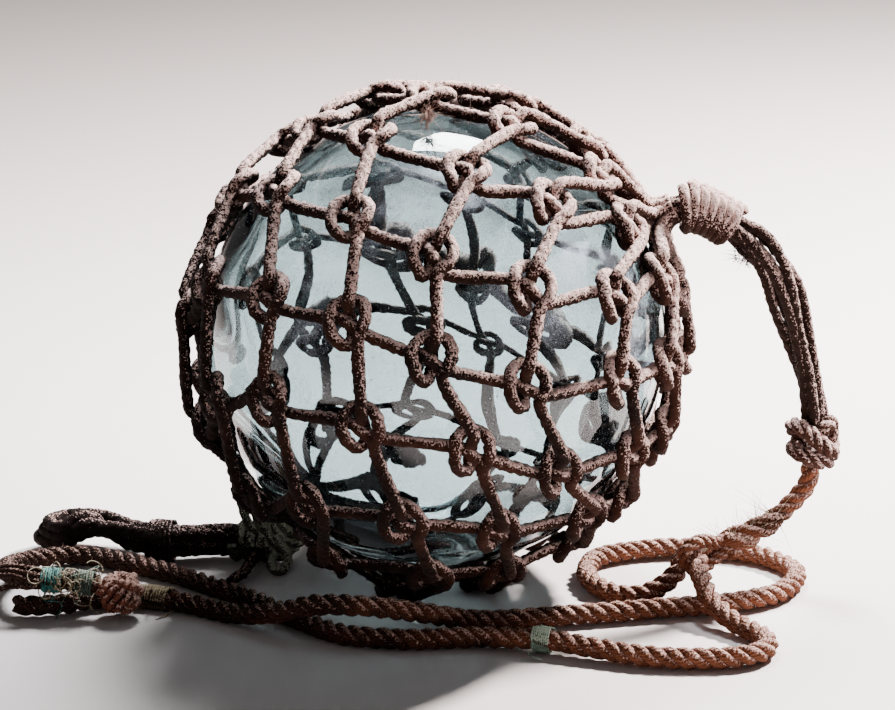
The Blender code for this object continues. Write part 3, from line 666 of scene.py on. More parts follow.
BECKET_INTO_HITCH = 0.015
becket_path = smooth_route(becket_route, 0.002)
becket_heading = unit(becket_path[-1] - becket_path[-2])
tucked_in = becket_path[-1] + becket_heading * np.linspace(0.002, BECKET_INTO_HITCH, 7)[:, None]
bundle_path = np.vstack([becket_path, tucked_in])
becket_along = distances(bundle_path)
BECKET_SHARES = (0, 0.08, 0.20, 0.33, 0.42, 0.55, 0.70, 0.90, 1)
BECKET_RADII = (0.0080, 0.0128, 0.0122, 0.0122, 0.0108, 0.0088, 0.0086, 0.0082, 0.0056)
out_of_collar = (becket_along - COLLAR_END) / (becket_along[-1] - COLLAR_END)
becket_radii = np.interp(out_of_collar, BECKET_SHARES, BECKET_RADII)
becket_radii = np.convolve(np.pad(becket_radii, 3, mode="edge"), np.ones(7) / 7, mode="valid")
becket = Cordage()
bundled(becket, bundle_path, becket_radii, cord_radius=0.0028, count=7, twist=2.6, guide=ASIDE, seed=3,
        rough=0.07)
becket_piece = settle(becket.build("upper_becket_cords", becket_cord), "becket_cord", "upper_becket")

collar_at = np.linspace(COLLAR_START + 0.0006, COLLAR_END - 0.0035, 7 * 26)
collar_path = along_curve(smooth_route(becket_route, 0.0005), collar_at)
collar_radii = 0.0108 + 0.0022 * np.exp(-np.linspace(0, 5, len(collar_path)))
collar = Cordage()
collar_turns = wound(collar_path, collar_radii, COLLAR_TURNS, ASIDE, first_turn=2)
collar.tube(collar_turns, COLLAR_CORD_RADIUS, CORD_SIDES, ASIDE, rib=0.12, lay=0.016, rough=0.08)
collar_piece = settle(collar.build("upper_collar_turns", whipping_cord), "whipping_cord", "upper_collar")

# %% [markdown]
# The line is real three-strand laid rope. Each strand is a tube that winds round the rope's own curve, and
# three of them a third of a turn apart fill a round rope. The long line is middled: its bight hangs in the
# hanging line's eye, one half runs to the front and the other to the back. The strands are worked
# out once for the whole length, and then cut at the bight's two ends, so that their winding runs on.

# %% Laid rope
LINE_DIAMETER = 0.0115
ROPE_LAY = 0.024
ROPE_STEP = 0.0017
STRAND_OUT, STRAND_RADIUS, STRAND_SIDES = 0.27, 0.235, 11


def strand_curves(path, diameter, guide, lay):
    """Three curves round a path: out * d * (cos a * side + sin a * cover), a = 2 pi s / lay + thirds."""
    _, side, cover = frames(path, guide)
    turn = 2 * math.pi * distances(path) / lay
    curves = []
    for n in range(3):
        angle = (turn + 2 * math.pi * n / 3)[:, None]
        curves.append(path + STRAND_OUT * diameter * (np.cos(angle) * side + np.sin(angle) * cover))
    return curves


def lay_rope(cordage, path, diameter, guide, lay=ROPE_LAY, part=slice(None)):
    """Adds the three strands of a rope, or of a part of it, each with the ridges of its yarns."""
    wide = np.broadcast_to(diameter, len(path))
    for n, curve in enumerate(strand_curves(path, wide[:, None], guide, lay)):
        strand = STRAND_RADIUS * wide * (1 + 0.04 * np.sin(distances(path) * 130 + 2 * n))
        cordage.tube(curve[part], strand[part], STRAND_SIDES, guide, ribs=7, rib=0.14, lay=-0.013,
                     rough=0.045, turn=n)


def rope_piece(name, node, path, guide, diameter=LINE_DIAMETER, part=slice(None)):
    """A run of the line as one piece, in the place of its node."""
    rope = Cordage()
    lay_rope(rope, path, diameter, guide, part=part)
    return settle(rope.build(name, rope_finish), "laid_line", node)


FRONT_ROUTE = metres([
    (144.3, -39.5, 23.2), (145.6, -52, 20.2), (148.5, -65, 14.4), (156, -77, 8.6), (165, -88, 6.2),
    (172, -98, 6), (174.5, -109, 6), (170, -121, 6), (158, -128.5, 6), (140, -130.5, 6), (111, -128, 6),
    (82, -118, 7), (57, -109, 7.9), (34, -104, 7), (14, -102, 6), (-18, -104, 6), (-48, -97, 6),
    (-74, -75, 6), (-100, -46, 6), (-132, -18, 6), (-152, -1, 6), (-176, 14, 6), (-200, 26, 6),
    (-217, 23, 6.6), (-231, 12, 8.5), (-238, -5, 12), (-239, -23, 16), (-233, -40, 19.2), (-223, -52, 21),
    (-210, -57, 21.6), (-197, -56.5, 20.9), (-183.6, -56, 18.4),
])
BACK_ROUTE = metres([
    (134.4, -33, 18.5), (126, -38, 11.8), (115, -40.5, 7.2), (103, -37.5, 6), (92.5, -27.5, 6),
    (86.5, -13, 6), (86, 3, 6), (94, 23, 6), (124, 38, 6), (158, 38, 6), (190, 24, 6), (204, -3, 6),
    (191, -33, 6), (164, -49, 6), (120, -59, 6), (68, -70, 6), (26, -78, 6.4), (-4, -88, 14),
    (-34, -97, 21.6), (-62, -95, 21.6), (-86, -83, 12.6), (-108, -68, 6.4), (-132, -53, 6),
    (-154, -43, 6), (-172, -40.5, 6), (-188, -46, 6.2), (-200, -53, 6.8), (-212, -57, 7), (-228, -57.5, 7),
])
BIGHT_ROUTE = metres([(144.8, -34, 26.2), (141.8, -27.6, 26.6), (136, -27.2, 23)])
whole_line = smooth_route(np.vstack([FRONT_ROUTE[::-1], BIGHT_ROUTE, BACK_ROUTE]), ROPE_STEP)
front_end = int(np.argmin(np.linalg.norm(whole_line - FRONT_ROUTE[0], axis=1)))
back_start = int(np.argmin(np.linalg.norm(whole_line - BACK_ROUTE[0], axis=1)))

front_line = rope_piece("front_rope", "front_line", whole_line, UP, part=slice(0, front_end + 1))
back_line = rope_piece("back_rope", "back_line", whole_line, UP, part=slice(back_start, None))
front_path = whole_line[: front_end + 1][::-1]
back_path = whole_line[back_start:]
print("front", distances(front_path)[-1].round(3), "back", distances(back_path)[-1].round(3))

# %% [markdown]
# The hanging line is made fast to the becket by a hitch: its end goes round the becket's cords two and a
# half times, crosses itself in front and tucks in. Below it the same rope hangs down in a slack curve
# to its spliced eye. The eye is the rope's own end, turned back round the long line's bight and tucked
# into the rope, which makes it thick there, and the ends of its strands stand out, frayed.

# %% The hitch, the hanging line and its eye
knot_start = becket_path[-1] + becket_heading * 0.0006
LINE_KNOT_DROP = metres([(1.5, 0, -10), (1, 0, -18), (-0.5, 0, -28)])
knot_end = knot_start + LINE_KNOT_DROP[-1]
knot_heading = unit(LINE_KNOT_DROP[-1] - LINE_KNOT_DROP[-2])
HANGING_ROUTE = metres([(198.5, -5, 47), (190, -8.5, 40), (180, -12.5, 35)])
SPLICE_ROUTE = metres([(170, -17, 31.5), (159, -21.5, 28.5)])
hanging_top = [knot_end + knot_heading * 0.001, knot_end + knot_heading * (0.001 + LINE_DIAMETER)]
hanging_path = smooth_route(np.vstack([hanging_top, HANGING_ROUTE, SPLICE_ROUTE]), ROPE_STEP)
hanging_line = rope_piece("hanging_rope", "hanging_line", hanging_path, ASIDE, LINE_DIAMETER * 0.96)

HITCH_ROUTE = metres([
    (0, 0, -15), (-2, 4, -9), (-8, 6, 1), (-11, 0, 8), (-7, -8, 9), (0, -10.5, 3.5), (7.5, -8.5, -3.5),
    (10.5, 0, -7), (5, 8, -7), (-5, 8, -6.5), (-10.5, 0, -5), (-6.5, -9, -6), (2, -9.5, -9.5),
    (8.5, -5, -10.5), (11, 3, -4), (10.5, 4.5, 5), (8.5, -2, 10.5), (4, -4, 8), (0, 0, 2),
])
hitch_centre = (knot_start + knot_end) / 2
hitch_path = smooth_route(hitch_centre + HITCH_ROUTE, ROPE_STEP * 0.8)
HITCH_DIAMETER, EYE_DIAMETER, TAIL_IN_DIAMETER = 0.0097, 0.0082, 0.0098
hitch = Cordage()
lay_rope(hitch, hitch_path, HITCH_DIAMETER, unit(hitch_path - hitch_centre + 1e-6), lay=0.021)
line_hitch = settle(hitch.build("line_hitch", hitch_finish), "laid_line", "line_knot")

EYE_ROUTE = metres([
    (172, -15, 34), (163, -18.5, 31.5), (156, -23.5, 31), (150, -28.5, 34), (143, -33.8, 35),
    (137.2, -37, 29.5), (139.5, -37, 22), (147, -33, 19.6), (154, -27.5, 23), (161, -22.5, 26),
    (170, -18, 29.5), (178, -13.5, 33),
])
eye = Cordage()
lay_rope(eye, whole_line, LINE_DIAMETER, UP, part=slice(front_end, back_start + 1))
eye_path = smooth_route(EYE_ROUTE, ROPE_STEP * 0.8)
lay_rope(eye, eye_path, EYE_DIAMETER, unit(eye_path - metres((145, -60, 27))), lay=0.018)
TUCK_RADIUS = 0.0030
tuck_path = along_curve(hanging_path, np.linspace(0.036, distances(hanging_path)[-1] - 0.002, 46))
for n in range(3):
    tuck_radii = np.linspace(0.0040, 0.0056, len(tuck_path))
    tuck = wound(tuck_path, tuck_radii, 0.9, ASIDE, first_turn=2.1 * n + 0.7)
    thick = TUCK_RADIUS * np.linspace(0.75, 1.1, len(tuck))
    eye.tube(tuck, thick, STRAND_SIDES, ASIDE, ribs=5, rib=0.16, lay=0.012, rough=0.08, turn=n)
eye_piece = settle(eye.build("spliced_eye", rope_finish), "laid_line", "eye_splice")

# %% [markdown]
# The lower gather is lashed with paler, grey-green cord, and its cords lie on the floor as a second becket:
# three cords that turn back at their far end, so that it ends in loops. A ring of fine turns holds them.

# %% Lower lashing and becket
LASHING_LEVEL = 0.0128
LASHING_TURNS, LASHING_POINTS = 7.6, 330
LASHING_CORD_RADIUS, HANGER_RADIUS = 0.0030, 0.0027
LASHING_LOOK = {"rib": 0.12, "lay": 0.019, "rough": 0.04}
lower_start = BALL_CENTRE + LOWER_POLE * GATHER_TOP
LASHING_ROUTE = metres([(-15, 6, 0), (-26, 9, 0), (-37, 11, 0)])
LOWER_BECKET_ROUTE = metres([
    (-50, 12, 0), (-61, 10, 0), (-75, 9, 0), (-89, 14, 0), (-106, 24, 0), (-123, 29, 0), (-138, 30, 0),
])
lower_foot = lower_start * (1, 1, 0) + (0, 0, LASHING_LEVEL)
lashing_route = [lower_start, lower_start + LOWER_POLE * 0.0065]
lashing_path = smooth_route(np.vstack([lashing_route, lower_foot + LASHING_ROUTE]), 0.0006)
lashing = Cordage()
lashing_radii = 0.0092 + 0.0008 * np.sin(np.linspace(0, 20, len(lashing_path)))
lashing_turns = wound(lashing_path, lashing_radii, LASHING_TURNS, UP, first_turn=1.0)
lashing_at = np.linspace(0, distances(lashing_turns)[-1], LASHING_POINTS)
lashing_curve = along_curve(lashing_turns, lashing_at)
lashing.tube(lashing_curve, LASHING_CORD_RADIUS, CORD_SIDES, UP, **LASHING_LOOK)
HANGERS = (
    [(-112, 26, 46), (-111, 24, 38), (-107.5, 23, 27), (-103, 26, 20)],
    [(-105, 22, 43), (-103.5, 20, 36), (-100.5, 19.5, 27), (-96, 23, 20)],
    [(-91, 17, 21), (-86, 12, 15), (-84, 9, 9), (-87, 7, 4), (-92, 9, 3.2), (-94, 14, 6), (-92, 19, 11)],
)
for hanger in HANGERS:
    hanger_path = smooth_route(metres(hanger), 0.0016)
    lashing.tube(hanger_path, HANGER_RADIUS, CORD_SIDES, ASIDE, **LASHING_LOOK)
settle(lashing.build("lower_lashing", lashing_cord), "pale_lashing_cord", "lower_collar")

lower_path = smooth_route(lower_foot + np.vstack([LASHING_ROUTE[[0, 2]], LOWER_BECKET_ROUTE]), 0.002)
lower_heading = unit(lower_path[-1] - lower_path[-2])
_, lower_side, lower_cover = frames(lower_path, UP)
lower_share = np.linspace(0, 1, len(lower_path))
lower_bundle = Cordage()
LOOP_COUNT, FLAT_FROM = 3, 0.66
BUNDLE_REACH, LOOP_RISE = 0.0062, 0.0046
LOOP_STEP, LOOP_CORD_RADIUS, TAIL_RADIUS = 0.0018, 0.0041, 0.0031
flat = np.clip((lower_share - FLAT_FROM) / (1 - FLAT_FROM), 0, 1)
for n in range(LOOP_COUNT):
    lanes = []
    for way in (0, 1):
        angle = math.pi * (n / LOOP_COUNT + way) - 0.9 * lower_share * (1 - lower_share) * 4 + 0.3 * n
        spread = BUNDLE_REACH + BUNDLE_REACH * flat
        across = spread * np.cos(angle * (1 - flat) + (math.pi * way + 0.25 * n) * flat)
        rise = BUNDLE_REACH * np.sin(angle * (1 - flat)) + LOOP_RISE * (n - 1) * flat
        lanes.append(lower_path + across[:, None] * lower_cover + rise[:, None] * lower_side)
    reach = lower_heading * 0.006 * (1 - 0.5 * n)
    tip = (lanes[0][-1] + lanes[1][-1]) / 2 + lower_heading * 0.010 + reach
    loop = np.vstack([lanes[0][::4], tip, lanes[1][::-4]])
    loop_path = smooth_route(loop, LOOP_STEP)
    lower_bundle.tube(loop_path, LOOP_CORD_RADIUS, CORD_SIDES, UP, rib=0.16, lay=0.022, rough=0.06, turn=n)
TAIL_ROUTE = metres([(-104, 18, 9), (-107, 8, 6), (-109, -1, 5), (-113, -7, 4.2), (-115, -12, 3.6)])
tail_path = smooth_route(TAIL_ROUTE, LOOP_STEP)
lower_bundle.tube(tail_path, TAIL_RADIUS, CORD_SIDES, UP, rib=0.15, lay=0.022, rough=0.06)
settle(lower_bundle.build("lower_becket_cords", becket_cord), "becket_cord", "lower_becket")

RING_FROM, RING_TO = 0.058, 0.071
RING_TURNS, RING_RADIUS, RING_CORD_RADIUS = 7, 0.0115, 0.0011
ring_path = along_curve(lower_path, np.linspace(RING_FROM, RING_TO, 150))
becket_ring = Cordage()
ring_turns = wound(ring_path, RING_RADIUS, RING_TURNS, UP)
becket_ring.tube(ring_turns, RING_CORD_RADIUS, 8, UP, rib=0.12, lay=0.008, rough=0.03)
settle(becket_ring.build("becket_ring_turns", becket_cord), "becket_cord", "becket_ring")

# %% [markdown]
# Fine twine holds the line in four places, and it is worn: it slackens, and its ends curl away. Each band is
# a helix close round the rope, with a few short ends that start anywhere in it.

# %% Bands of twine


def nearest_at(path, x, front_of):
    """Distance along a path at which it passes a place along X, nearer the viewer than a given Y."""
    off = np.abs(path[:, 0] - x) + 10 * (path[:, 1] > front_of)
    return distances(path)[int(np.argmin(off))]


def band_of_twine(name, path, middle, length, turns, radius, twine, finish, slot, *nodes):
    """A helix of twine round a stretch of a rope, with five curling ends."""
    at = np.linspace(middle - length / 2, middle + length / 2, int(turns * 16))
    stretch = along_curve(path, at)
    cordage = Cordage()
    turns_curve = wound(stretch, radius, turns, UP)
    cordage.tube(turns_curve, twine, 6, UP, ribs=2, rib=0.1, lay=0.004, rough=0.03)
    chance = np.random.default_rng(int(abs(middle) * 1e4))
    share = np.linspace(0, 1, 26)[:, None]
    for _ in range(5):
        start = turns_curve[int(chance.integers(0, len(turns_curve)))]
        away = unit(chance.normal(size=3) + np.array([0, -0.8, 0.5]))
        bow = unit(np.cross(away, chance.normal(size=3)))
        reach = chance.uniform(0.007, 0.014)
        curl = bow * np.sin(share * chance.uniform(3, 7)) * 0.35 + np.array([0, 0, -0.5]) * share**2
        cordage.tube(start + reach * (away * share + curl), twine * 0.55, 4, UP)
    return settle(cordage.build(name, finish), slot, *nodes)


BAND_RADIUS, BAND_LENGTH = LINE_DIAMETER / 2 + 0.0007, 0.0098
FINE_TWINE, THICK_TWINE = 0.0006, 0.0007
line_at, end_at, outer_at = (nearest_at(front_path, x, -0.05) for x in (0.057, -0.207, -0.190))
line_band = band_of_twine("line_twine", front_path, line_at, BAND_LENGTH, 9, BAND_RADIUS, FINE_TWINE,
                          faded_twine_finish, "green_twine", "line_seizing")
end_band = band_of_twine("end_twine", front_path, end_at, BAND_LENGTH, 9, BAND_RADIUS, FINE_TWINE,
                         twine_finish, "green_twine", "end_seizing")
outer_band = band_of_twine("outer_end_twine", front_path, outer_at, BAND_LENGTH, 7, BAND_RADIUS,
                           THICK_TWINE, faded_twine_finish, "green_twine", "outer_end_seizing")
back_band = band_of_twine("back_whipping", back_path, nearest_at(back_path, -0.153, -0.03), 0.019, 11,
                          0.0063, 0.00100, brown_twine_finish, "pale_lashing_cord")


def loose_curls(name, path, first, last, count, reach, twine, finish, slot, seed):
    """Thin ends that curl off a rope.

    Each is place + reach * (0.7 s * away + 0.4 sin(a s) * bow + 0.4 (1 - cos(a s)) * lift).
    """
    chance = np.random.default_rng(seed)
    cordage = Cordage()
    share = np.linspace(0, 1, 30)[:, None]
    for middle in along_curve(path, chance.uniform(first, last, count)):
        away = unit(chance.normal(size=3) * (1, 0.6, 0.6) + np.array([0, -1.0, 0.1]))
        bow = unit(np.cross(away, chance.normal(size=3)))
        lift = np.cross(away, bow)
        size = reach * chance.uniform(0.6, 1.2)
        swing = share * chance.uniform(3.5, 7.5)
        curl = 0.40 * np.sin(swing) * bow + 0.40 * (1 - np.cos(swing)) * lift
        cordage.tube(middle + away * 0.004 + size * (share * away * 0.7 + curl), twine, 5, UP)
    return settle(cordage.build(name, finish), slot)


curls = loose_curls("pale_curls", front_path, end_at - 0.004, outer_at + 0.005, count=26, reach=0.0110,
                    twine=0.00038, finish=pale_twine_finish, slot="green_twine", seed=52)

# %% [markdown]
# The line's far end is unlaid and knotted on itself. The knot is one closed curve with many crossings: a
# path on a ring that goes seven times round it and eleven times through it. Yarns that have come loose from
# it lie beside the line.

# %% The frayed knot and loose yarns
FRAYED_CENTRE = metres((-170.5, -57.5, 14.6))
FRAYED_TIMES_ROUND, FRAYED_TIMES_THROUGH = 7, 11
YARN_SIDES, KNOTTED_YARN_RADIUS, LOOSE_YARN_RADIUS = 9, 0.0016, 0.0015
turn = np.linspace(0, 2 * math.pi, 1100)
wriggle = 1 + 0.10 * np.sin(83 * turn) + 0.05 * np.sin(137 * turn)
ring_reach = (0.0060 + 0.0038 * np.cos(FRAYED_TIMES_THROUGH * turn)) * wriggle
frayed_curve = FRAYED_CENTRE + np.stack([
    ring_reach * np.cos(FRAYED_TIMES_ROUND * turn),
    ring_reach * np.sin(FRAYED_TIMES_ROUND * turn),
    0.0078 * np.sin(FRAYED_TIMES_THROUGH * turn) * wriggle,
], axis=1)
frayed = Cordage()
from_middle = unit(frayed_curve - FRAYED_CENTRE)
frayed.tube(frayed_curve, KNOTTED_YARN_RADIUS, YARN_SIDES, from_middle, ribs=5, rib=0.30, lay=0.006,
            rough=0.10)
TAIL_IN_ROUTE = metres([(-178, -57, 16.5), (-172, -58, 14.5)])
tail_in_path = smooth_route(np.vstack([FRONT_ROUTE[-1], TAIL_IN_ROUTE]), ROPE_STEP)
lay_rope(frayed, tail_in_path, TAIL_IN_DIAMETER, UP)
LOOSE_YARNS = (
    [(-213, -57, 27), (-219, -58, 28.6), (-227, -56, 29), (-237, -52, 27), (-246, -48, 24.5)],
    [(-213, -62, 23), (-220, -63.5, 24), (-228, -61, 25.5), (-238, -58, 24), (-247, -57, 21.5)],
    [(-213.5, -60.5, 25.6), (-220, -61.5, 27), (-229, -58.5, 27.6), (-238, -55, 25.5), (-243, -53, 22)],
    [(-213, -63, 20.2), (-219, -65, 20.5), (-227, -64, 20.5), (-236, -63, 18.5), (-242, -62, 15)],
)
frayed_piece = settle(frayed.build("frayed_stopper", yarn_finish), "frayed_yarn", "frayed_knot")
yarns = Cordage()
for n, yarn in enumerate(LOOSE_YARNS):
    yarn_path = smooth_route(metres(yarn), 0.0013)
    yarns.tube(yarn_path, LOOSE_YARN_RADIUS, YARN_SIDES, UP, rib=0.30, lay=0.007, rough=0.12, turn=n)
loose_yarns = settle(yarns.build("loose_yarns", rope_finish), "laid_line")

# %% [markdown]
# Old cord is hairy. Fine fibres stand out of it all over, and a few hundred of them change how soft its edge
# looks. All fibres of a cord are worked out at once: each is a thin three-sided spike of four rings that
# starts inside the cord and bends as it leaves.

# %% Stray fibres


def stray_fibres(name, anchors, outward, count, length, thickness, material, slot, seed):
    """Fibres at chance anchors: place + length * (s * out + s^2 * bend), radius falling as 1 - 0.8 s."""
    chance = np.random.default_rng(seed)
    pick = chance.integers(0, len(anchors), count)
    out = unit(outward[pick] + chance.normal(0, 0.75, (count, 3)))
    bend = chance.normal(0, 0.55, (count, 3))
    reach = length * chance.uniform(0.35, 1.0, count)[:, None, None]
    s = np.linspace(0, 1, 4)[None, :, None]
    spine = anchors[pick][:, None] + reach * (s * out[:, None] + s**2 * bend[:, None])
    one = unit(np.cross(out, bend))[:, None, None]
    two = unit(np.cross(out[:, None, None], one))
    angle = (2 * math.pi * np.arange(3) / 3)[None, None, :, None]
    radius = (thickness * (1 - 0.8 * s))[:, :, None]
    points = spine[:, :, None] + radius * (np.cos(angle) * one + np.sin(angle) * two)
    points[..., 2] = np.maximum(points[..., 2], FLOOR_GAP)
    first = (np.arange(count) * 12)[:, None, None]
    ring, side = np.arange(3)[None, :, None] * 3, np.arange(3)[None, None, :]
    a, b = first + ring + side, first + ring + (side + 1) % 3
    quads = np.stack([a, b, b + 3, a + 3], axis=-1).reshape(-1, 4)
    foot = first[:, 0] + np.array([2, 1, 0])
    tip = first[:, 0] + np.array([9, 10, 11])
    faces = quads.tolist() + foot.tolist() + tip.tolist()
    piece = smooth_piece(name, points.reshape(-1, 3), faces, material)
    piece.data.uv_layers.new(name="lay")
    return settle(piece, slot)


def surface_of(*pieces):
    """Every vertex of some pieces, with the direction in which the surface faces there."""
    found = ([], [])
    for piece in pieces:
        mesh = piece.data
        flat = np.empty(len(mesh.vertices) * 3)
        for kept, source, label in zip(found, (mesh.vertices, mesh.vertex_normals), ("co", "vector")):
            source.foreach_get(label, flat)
            kept.append(flat.reshape(-1, 3).copy())
    return np.concatenate(found[0]), np.concatenate(found[1])


stray_fibres("net_fibres", *surface_of(*net_pieces), count=2600, length=0.0042, thickness=0.00011,
             material=fibre_finish, slot="tarred_net_cord", seed=5)
stray_fibres("becket_fibres", *surface_of(becket_piece, collar_piece), count=420, length=0.0045,
             thickness=0.00012, material=fibre_finish, slot="becket_cord", seed=6)
stray_fibres("line_fibres", *surface_of(front_line, back_line, hanging_line), count=1500, length=0.0030,
             thickness=0.00010, material=yarn_finish, slot="laid_line", seed=8)
knot_fibres = stray_fibres("knot_fibres", *surface_of(frayed_piece, loose_yarns), count=420, length=0.0036,
                           thickness=0.00016, material=yarn_finish, slot="frayed_yarn", seed=9)
SPLICE_FROM, SPLICE_TO = 0.034, 0.075
splice_at = distances(hanging_path)
splice_ends = hanging_path[(splice_at > SPLICE_FROM) & (splice_at < SPLICE_TO)]
splice_out = np.broadcast_to((-0.6, 0.1, 0.8), splice_ends.shape)
splice_fibres = stray_fibres("splice_fibres", splice_ends, splice_out, count=170, length=0.015,
                             thickness=0.00032, material=pale_twine_finish, slot="laid_line", seed=10)

TUFTS = (
    ((-4, -38, 273), (0.1, -0.8, -0.4), 0.0016, 0.009, yarn_finish, "frayed_yarn"),
    ((169.5, -9, 191.5), (-0.5, -0.3, -0.8), 0.0032, 0.0055, becket_cord, "becket_cord"),
)
for n, (place, direction, spread, reach, finish, slot) in enumerate(TUFTS):
    middle = metres(place) + np.random.default_rng(30 + n).normal(0, spread, (40, 3))
    stray_fibres(f"frayed_tuft_{n + 1}", middle, np.broadcast_to(direction, middle.shape), count=90,
                 length=reach, thickness=0.00028, material=finish, slot=slot, seed=40 + n)

# %% [markdown]

# %% [markdown]
# Glass is clear, so its shader keeps plain values: full transmission, the refraction of soda glass and a
# pale blue-green tint, which four surfaces in the light's way make stronger. A slow bump gives the ripples.
# A film of salt, scratches and dust lies on the outside. It is a skin of its own that only shows in specks
# and patches, through its alpha, so that the glass under it stays clear.

# %% Glass finishes


def plain_material(name, colour, roughness, transmission=0.0, ior=1.5):
    """A material with constant values, its shader and the wiring of its tree."""
    material, shader, w = new_material(name)
    shader.inputs["Base Color"].default_value = (*colour, 1)
    shader.inputs["Roughness"].default_value = roughness
    shader.inputs["Transmission Weight"].default_value = transmission
    shader.inputs["IOR"].default_value = ior
    return material, shader, w


sea_glass, glass_shader, w = plain_material("sea glass", (0.45, 0.55, 0.57), 0.0, transmission=1.0)
glass_place = w.add("ShaderNodeTexCoord").outputs["Object"]
w.join(w.bump(w.noise(glass_place, 16, 2), 0.05, 0.0012), glass_shader.inputs["Normal"])
bubble_finish, _, _ = plain_material("glass bubble", (0.85, 0.95, 0.95), 0.0, transmission=1.0, ior=1.25)

FROST_PATCHES = (
    ((0.10, -0.60, 0.79), 0.030, 0.9), ((0.62, -0.62, 0.47), 0.036, 1.0), ((0.83, -0.52, 0.22), 0.030, 0.9),
    ((0.84, -0.53, 0.03), 0.030, 0.8), ((-0.18, -0.68, 0.70), 0.042, 0.6), ((0.38, -0.85, 0.36), 0.034, 0.6),
    ((-0.55, -0.75, 0.35), 0.040, 0.4), ((0.3, 0.85, 0.42), 0.05, 0.6), ((-0.4, 0.8, 0.44), 0.05, 0.5),
)
salt_film, film_shader, w = plain_material("salt film", (0.66, 0.77, 0.93), 0.85)
film_place = w.add("ShaderNodeTexCoord").outputs["Object"]
frost = 0.0
for heading, reach, strength in FROST_PATCHES:
    patch = BALL_CENTRE + unit(np.array(heading)) * BALL_RADIUS
    off = w.vector("DISTANCE", film_place, patch)["Value"]
    frost = w.maths("MAXIMUM", w.maths("MULTIPLY", w.ramp(off, reach, reach * 0.35), strength), frost)
cloud = w.ramp(w.noise(film_place, 70, 5, 0.65), 0.36, 0.60)
grain = w.ramp(w.noise(film_place, 1500, 2), 0.50, 0.72)
specks = w.ramp(w.noise(film_place, 900, 1), 0.70, 0.76)
scratch = w.add("ShaderNodeMapping")
scratch.inputs["Scale"].default_value = (1, 1, 9)
scratch.inputs["Rotation"].default_value = (0.6, 0.9, 0.2)
w.join(film_place, scratch.inputs["Vector"])
scratches = w.ramp(w.noise(scratch.outputs["Vector"], 130, 2), 0.68, 0.74)
frosted = w.maths("MULTIPLY", w.maths("MULTIPLY", frost, cloud), w.maths("MULTIPLY_ADD", grain, 0.75))
film_alpha = w.maths("MAXIMUM", frosted, w.maths("MULTIPLY", specks, 0.6))
film_alpha = w.maths("MAXIMUM", film_alpha, w.maths("MULTIPLY", scratches, 0.22))
film_alpha = w.maths("MAXIMUM", film_alpha, w.maths("MULTIPLY", grain, 0.05), clamp=True)
w.join(film_alpha, film_shader.inputs["Alpha"])
print("glass finishes", sea_glass.name, salt_film.name)

# %% [markdown]
# The ball is blown glass, thin walled and empty: a shell between two surfaces, 3.5 mm apart, that light
# bends through. The wall's inner side swells and thins a little, as in hand-blown work, and a seal of thicker
# glass closes it below. The tint is the glass's own. Both surfaces are rounded grids from pole to pole.

# %% The blown glass
GLASS_WALL = 0.0035
GLASS_ROWS, GLASS_COLUMNS = 96, 192


def headings(rows, columns):
    """A grid of directions between the poles: (cos u cos v, sin u cos v, sin v)."""
    v = np.linspace(-math.pi / 2, math.pi / 2, rows + 1)[1:-1, None]
    u = np.linspace(0, 2 * math.pi, columns, endpoint=False)[None, :]
    return np.stack(np.broadcast_arrays(np.cos(u) * np.cos(v), np.sin(u) * np.cos(v), np.sin(v)), axis=-1)


def globe(radius_at, inward=False):
    """A closed ball: centre + r(direction) * direction, with a fan of triangles at each pole."""
    rows = headings(GLASS_ROWS, GLASS_COLUMNS).reshape(-1, 3)
    heading = np.vstack([rows, (0, 0, -1), (0, 0, 1)])
    points = BALL_CENTRE + heading * radius_at(heading)[:, None]
    row, column = np.arange(GLASS_ROWS - 2)[:, None], np.arange(GLASS_COLUMNS)[None, :]
    a = row * GLASS_COLUMNS + column
    b = row * GLASS_COLUMNS + (column + 1) % GLASS_COLUMNS
    quads = np.stack([a, b, b + GLASS_COLUMNS, a + GLASS_COLUMNS], axis=-1).reshape(-1, 4)
    around = np.arange(GLASS_COLUMNS)
    beside = (around + 1) % GLASS_COLUMNS
    top = (GLASS_ROWS - 2) * GLASS_COLUMNS
    foot, head = len(rows) + 0 * around, len(rows) + 1 + 0 * around
    bottom_cap = np.stack([beside, around, foot], axis=1)
    top_cap = np.stack([top + around, top + beside, head], axis=1)
    caps = np.vstack([bottom_cap, top_cap])
    if inward:
        quads, caps = quads[:, ::-1], caps[:, ::-1]
    return points, quads, caps


def shell_object(name, surfaces, material):
    """One mesh of several closed surfaces."""
    points, faces, first = [], [], 0
    for surface, quads, caps in surfaces:
        points.append(surface)
        faces += (quads + first).tolist() + (caps + first).tolist()
        first += len(surface)
    return smooth_piece(name, np.concatenate(points), faces, material)


def outer_skin(heading):
    """Nearly round: the radius less a few tenths of a millimetre in slow waves."""
    x, y, z = heading.T
    return BALL_RADIUS - 0.00016 * (1 + np.sin(4 * x + 3 * z) * np.cos(5 * y - 2 * z + 1))


def inner_skin(heading):
    """The outer skin less the wall, which swells by a third in slow waves and thickens at the seal."""
    x, y, z = heading.T
    waves = np.sin(7 * x + 2 * y - 3 * z) * np.cos(5 * z - 4 * y + 1) + 0.5 * np.sin(13 * z + 6 * x)
    seal = np.exp(-((heading @ SEAL - 1) ** 2) / 0.0009)
    return outer_skin(heading) - GLASS_WALL * (1 + 0.32 * waves + 0.8 * seal)


SEAL = unit(np.array([-0.35, -0.45, -0.82]))
glass = shell_object("blown_glass", [globe(outer_skin), globe(inner_skin, inward=True)], sea_glass)
settle(glass, "sea_glass", "glass_ball")

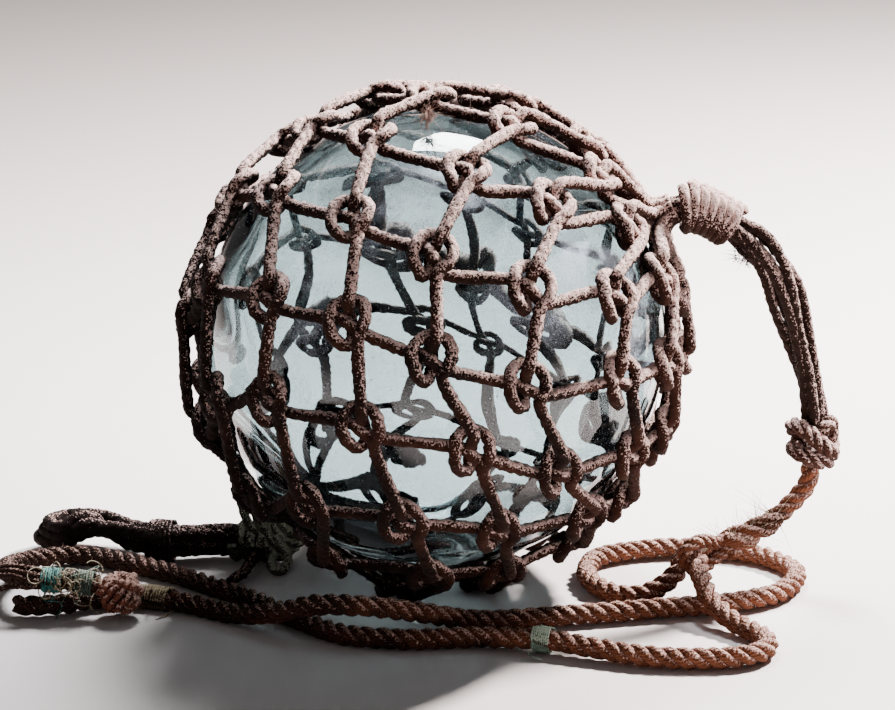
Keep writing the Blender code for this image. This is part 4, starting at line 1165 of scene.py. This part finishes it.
# %% [markdown]
# Hand-blown glass keeps small bubbles in its wall. Each is a little closed grid of its own inside the wall,
# all in one piece. The salt film is the ball's outer surface once more, a tenth of a millimetre further out.

# %% Bubbles and salt film
BUBBLES, BUBBLE_DEPTH = 90, 0.0016
FILM_GAP = 0.00012
bubble_chance = np.random.default_rng(21)
bubble_heading = unit(bubble_chance.normal(size=(BUBBLES, 3)))
bubble_sizes = bubble_chance.uniform(0.00025, 0.0007, BUBBLES)
unit_ball = headings(5, 8)
bubbles = Cordage()
for heading, size in zip(bubble_heading, bubble_sizes):
    middle = BALL_CENTRE + heading * (BALL_RADIUS - BUBBLE_DEPTH)
    bubbles.grid(middle + size * unit_ball, np.arange(4.0), 1.0)
settle(bubbles.build("glass_bubbles", bubble_finish), "sea_glass")

film = shell_object("salt_film", [globe(lambda heading: outer_skin(heading) + FILM_GAP)], salt_film)
settle(film, "sea_glass")

# %% [markdown]
# The studio is plain: a pale floor, soft light all round, one small round lamp behind at the upper right
# that casts firm shadows, and a soft panel above and behind, which draws the white window on the top of
# the ball. The lamp shines to all sides, because a panel facing the ball would end in an edge on the floor.

# %% Floor, world and lights
floor_mesh = bpy.data.meshes.new("floor")
FLOOR_HALF = 40.0
floor_corners = [(x * FLOOR_HALF, y * FLOOR_HALF, 0) for x, y in ((-1, -1), (1, -1), (1, 1), (-1, 1))]
floor_mesh.from_pydata(floor_corners, [], [(0, 1, 2, 3)])
floor = linked("floor", floor_mesh)
floor_paint, _, _ = plain_material("pale floor", (0.88, 0.80, 0.79), 0.9)
floor_mesh.materials.append(floor_paint)

world = bpy.data.worlds.new("studio")
world.use_nodes = True
sky = world.node_tree.nodes["Background"].inputs
sky["Color"].default_value = (1.0, 0.96, 0.95, 1)
sky["Strength"].default_value = 0.11
bpy.context.scene.world = world


def light(name, kind, direction, distance, power, colour):
    """A light at a distance from the ball's centre, facing it."""
    new = linked(name, bpy.data.lights.new(name, kind))
    new.data.energy, new.data.color = power, colour
    heading = unit(np.array(direction))
    new.location = BALL_CENTRE + heading * distance
    new.rotation_euler = Vector(-heading).to_track_quat("-Z", "Y").to_euler()
    return new.data


lamp = light("key", "POINT", (0.62, 0.42, 0.66), 1.7, 620, (1.0, 0.95, 0.91))
lamp.shadow_soft_size = 0.10
panel = light("window", "AREA", (0.09, 0.474, 0.875), 0.9, 26, (0.97, 0.98, 1.0))
panel.shape = "RECTANGLE"
panel.size, panel.size_y = 0.34, 0.26
print("lights", len(bpy.data.lights))
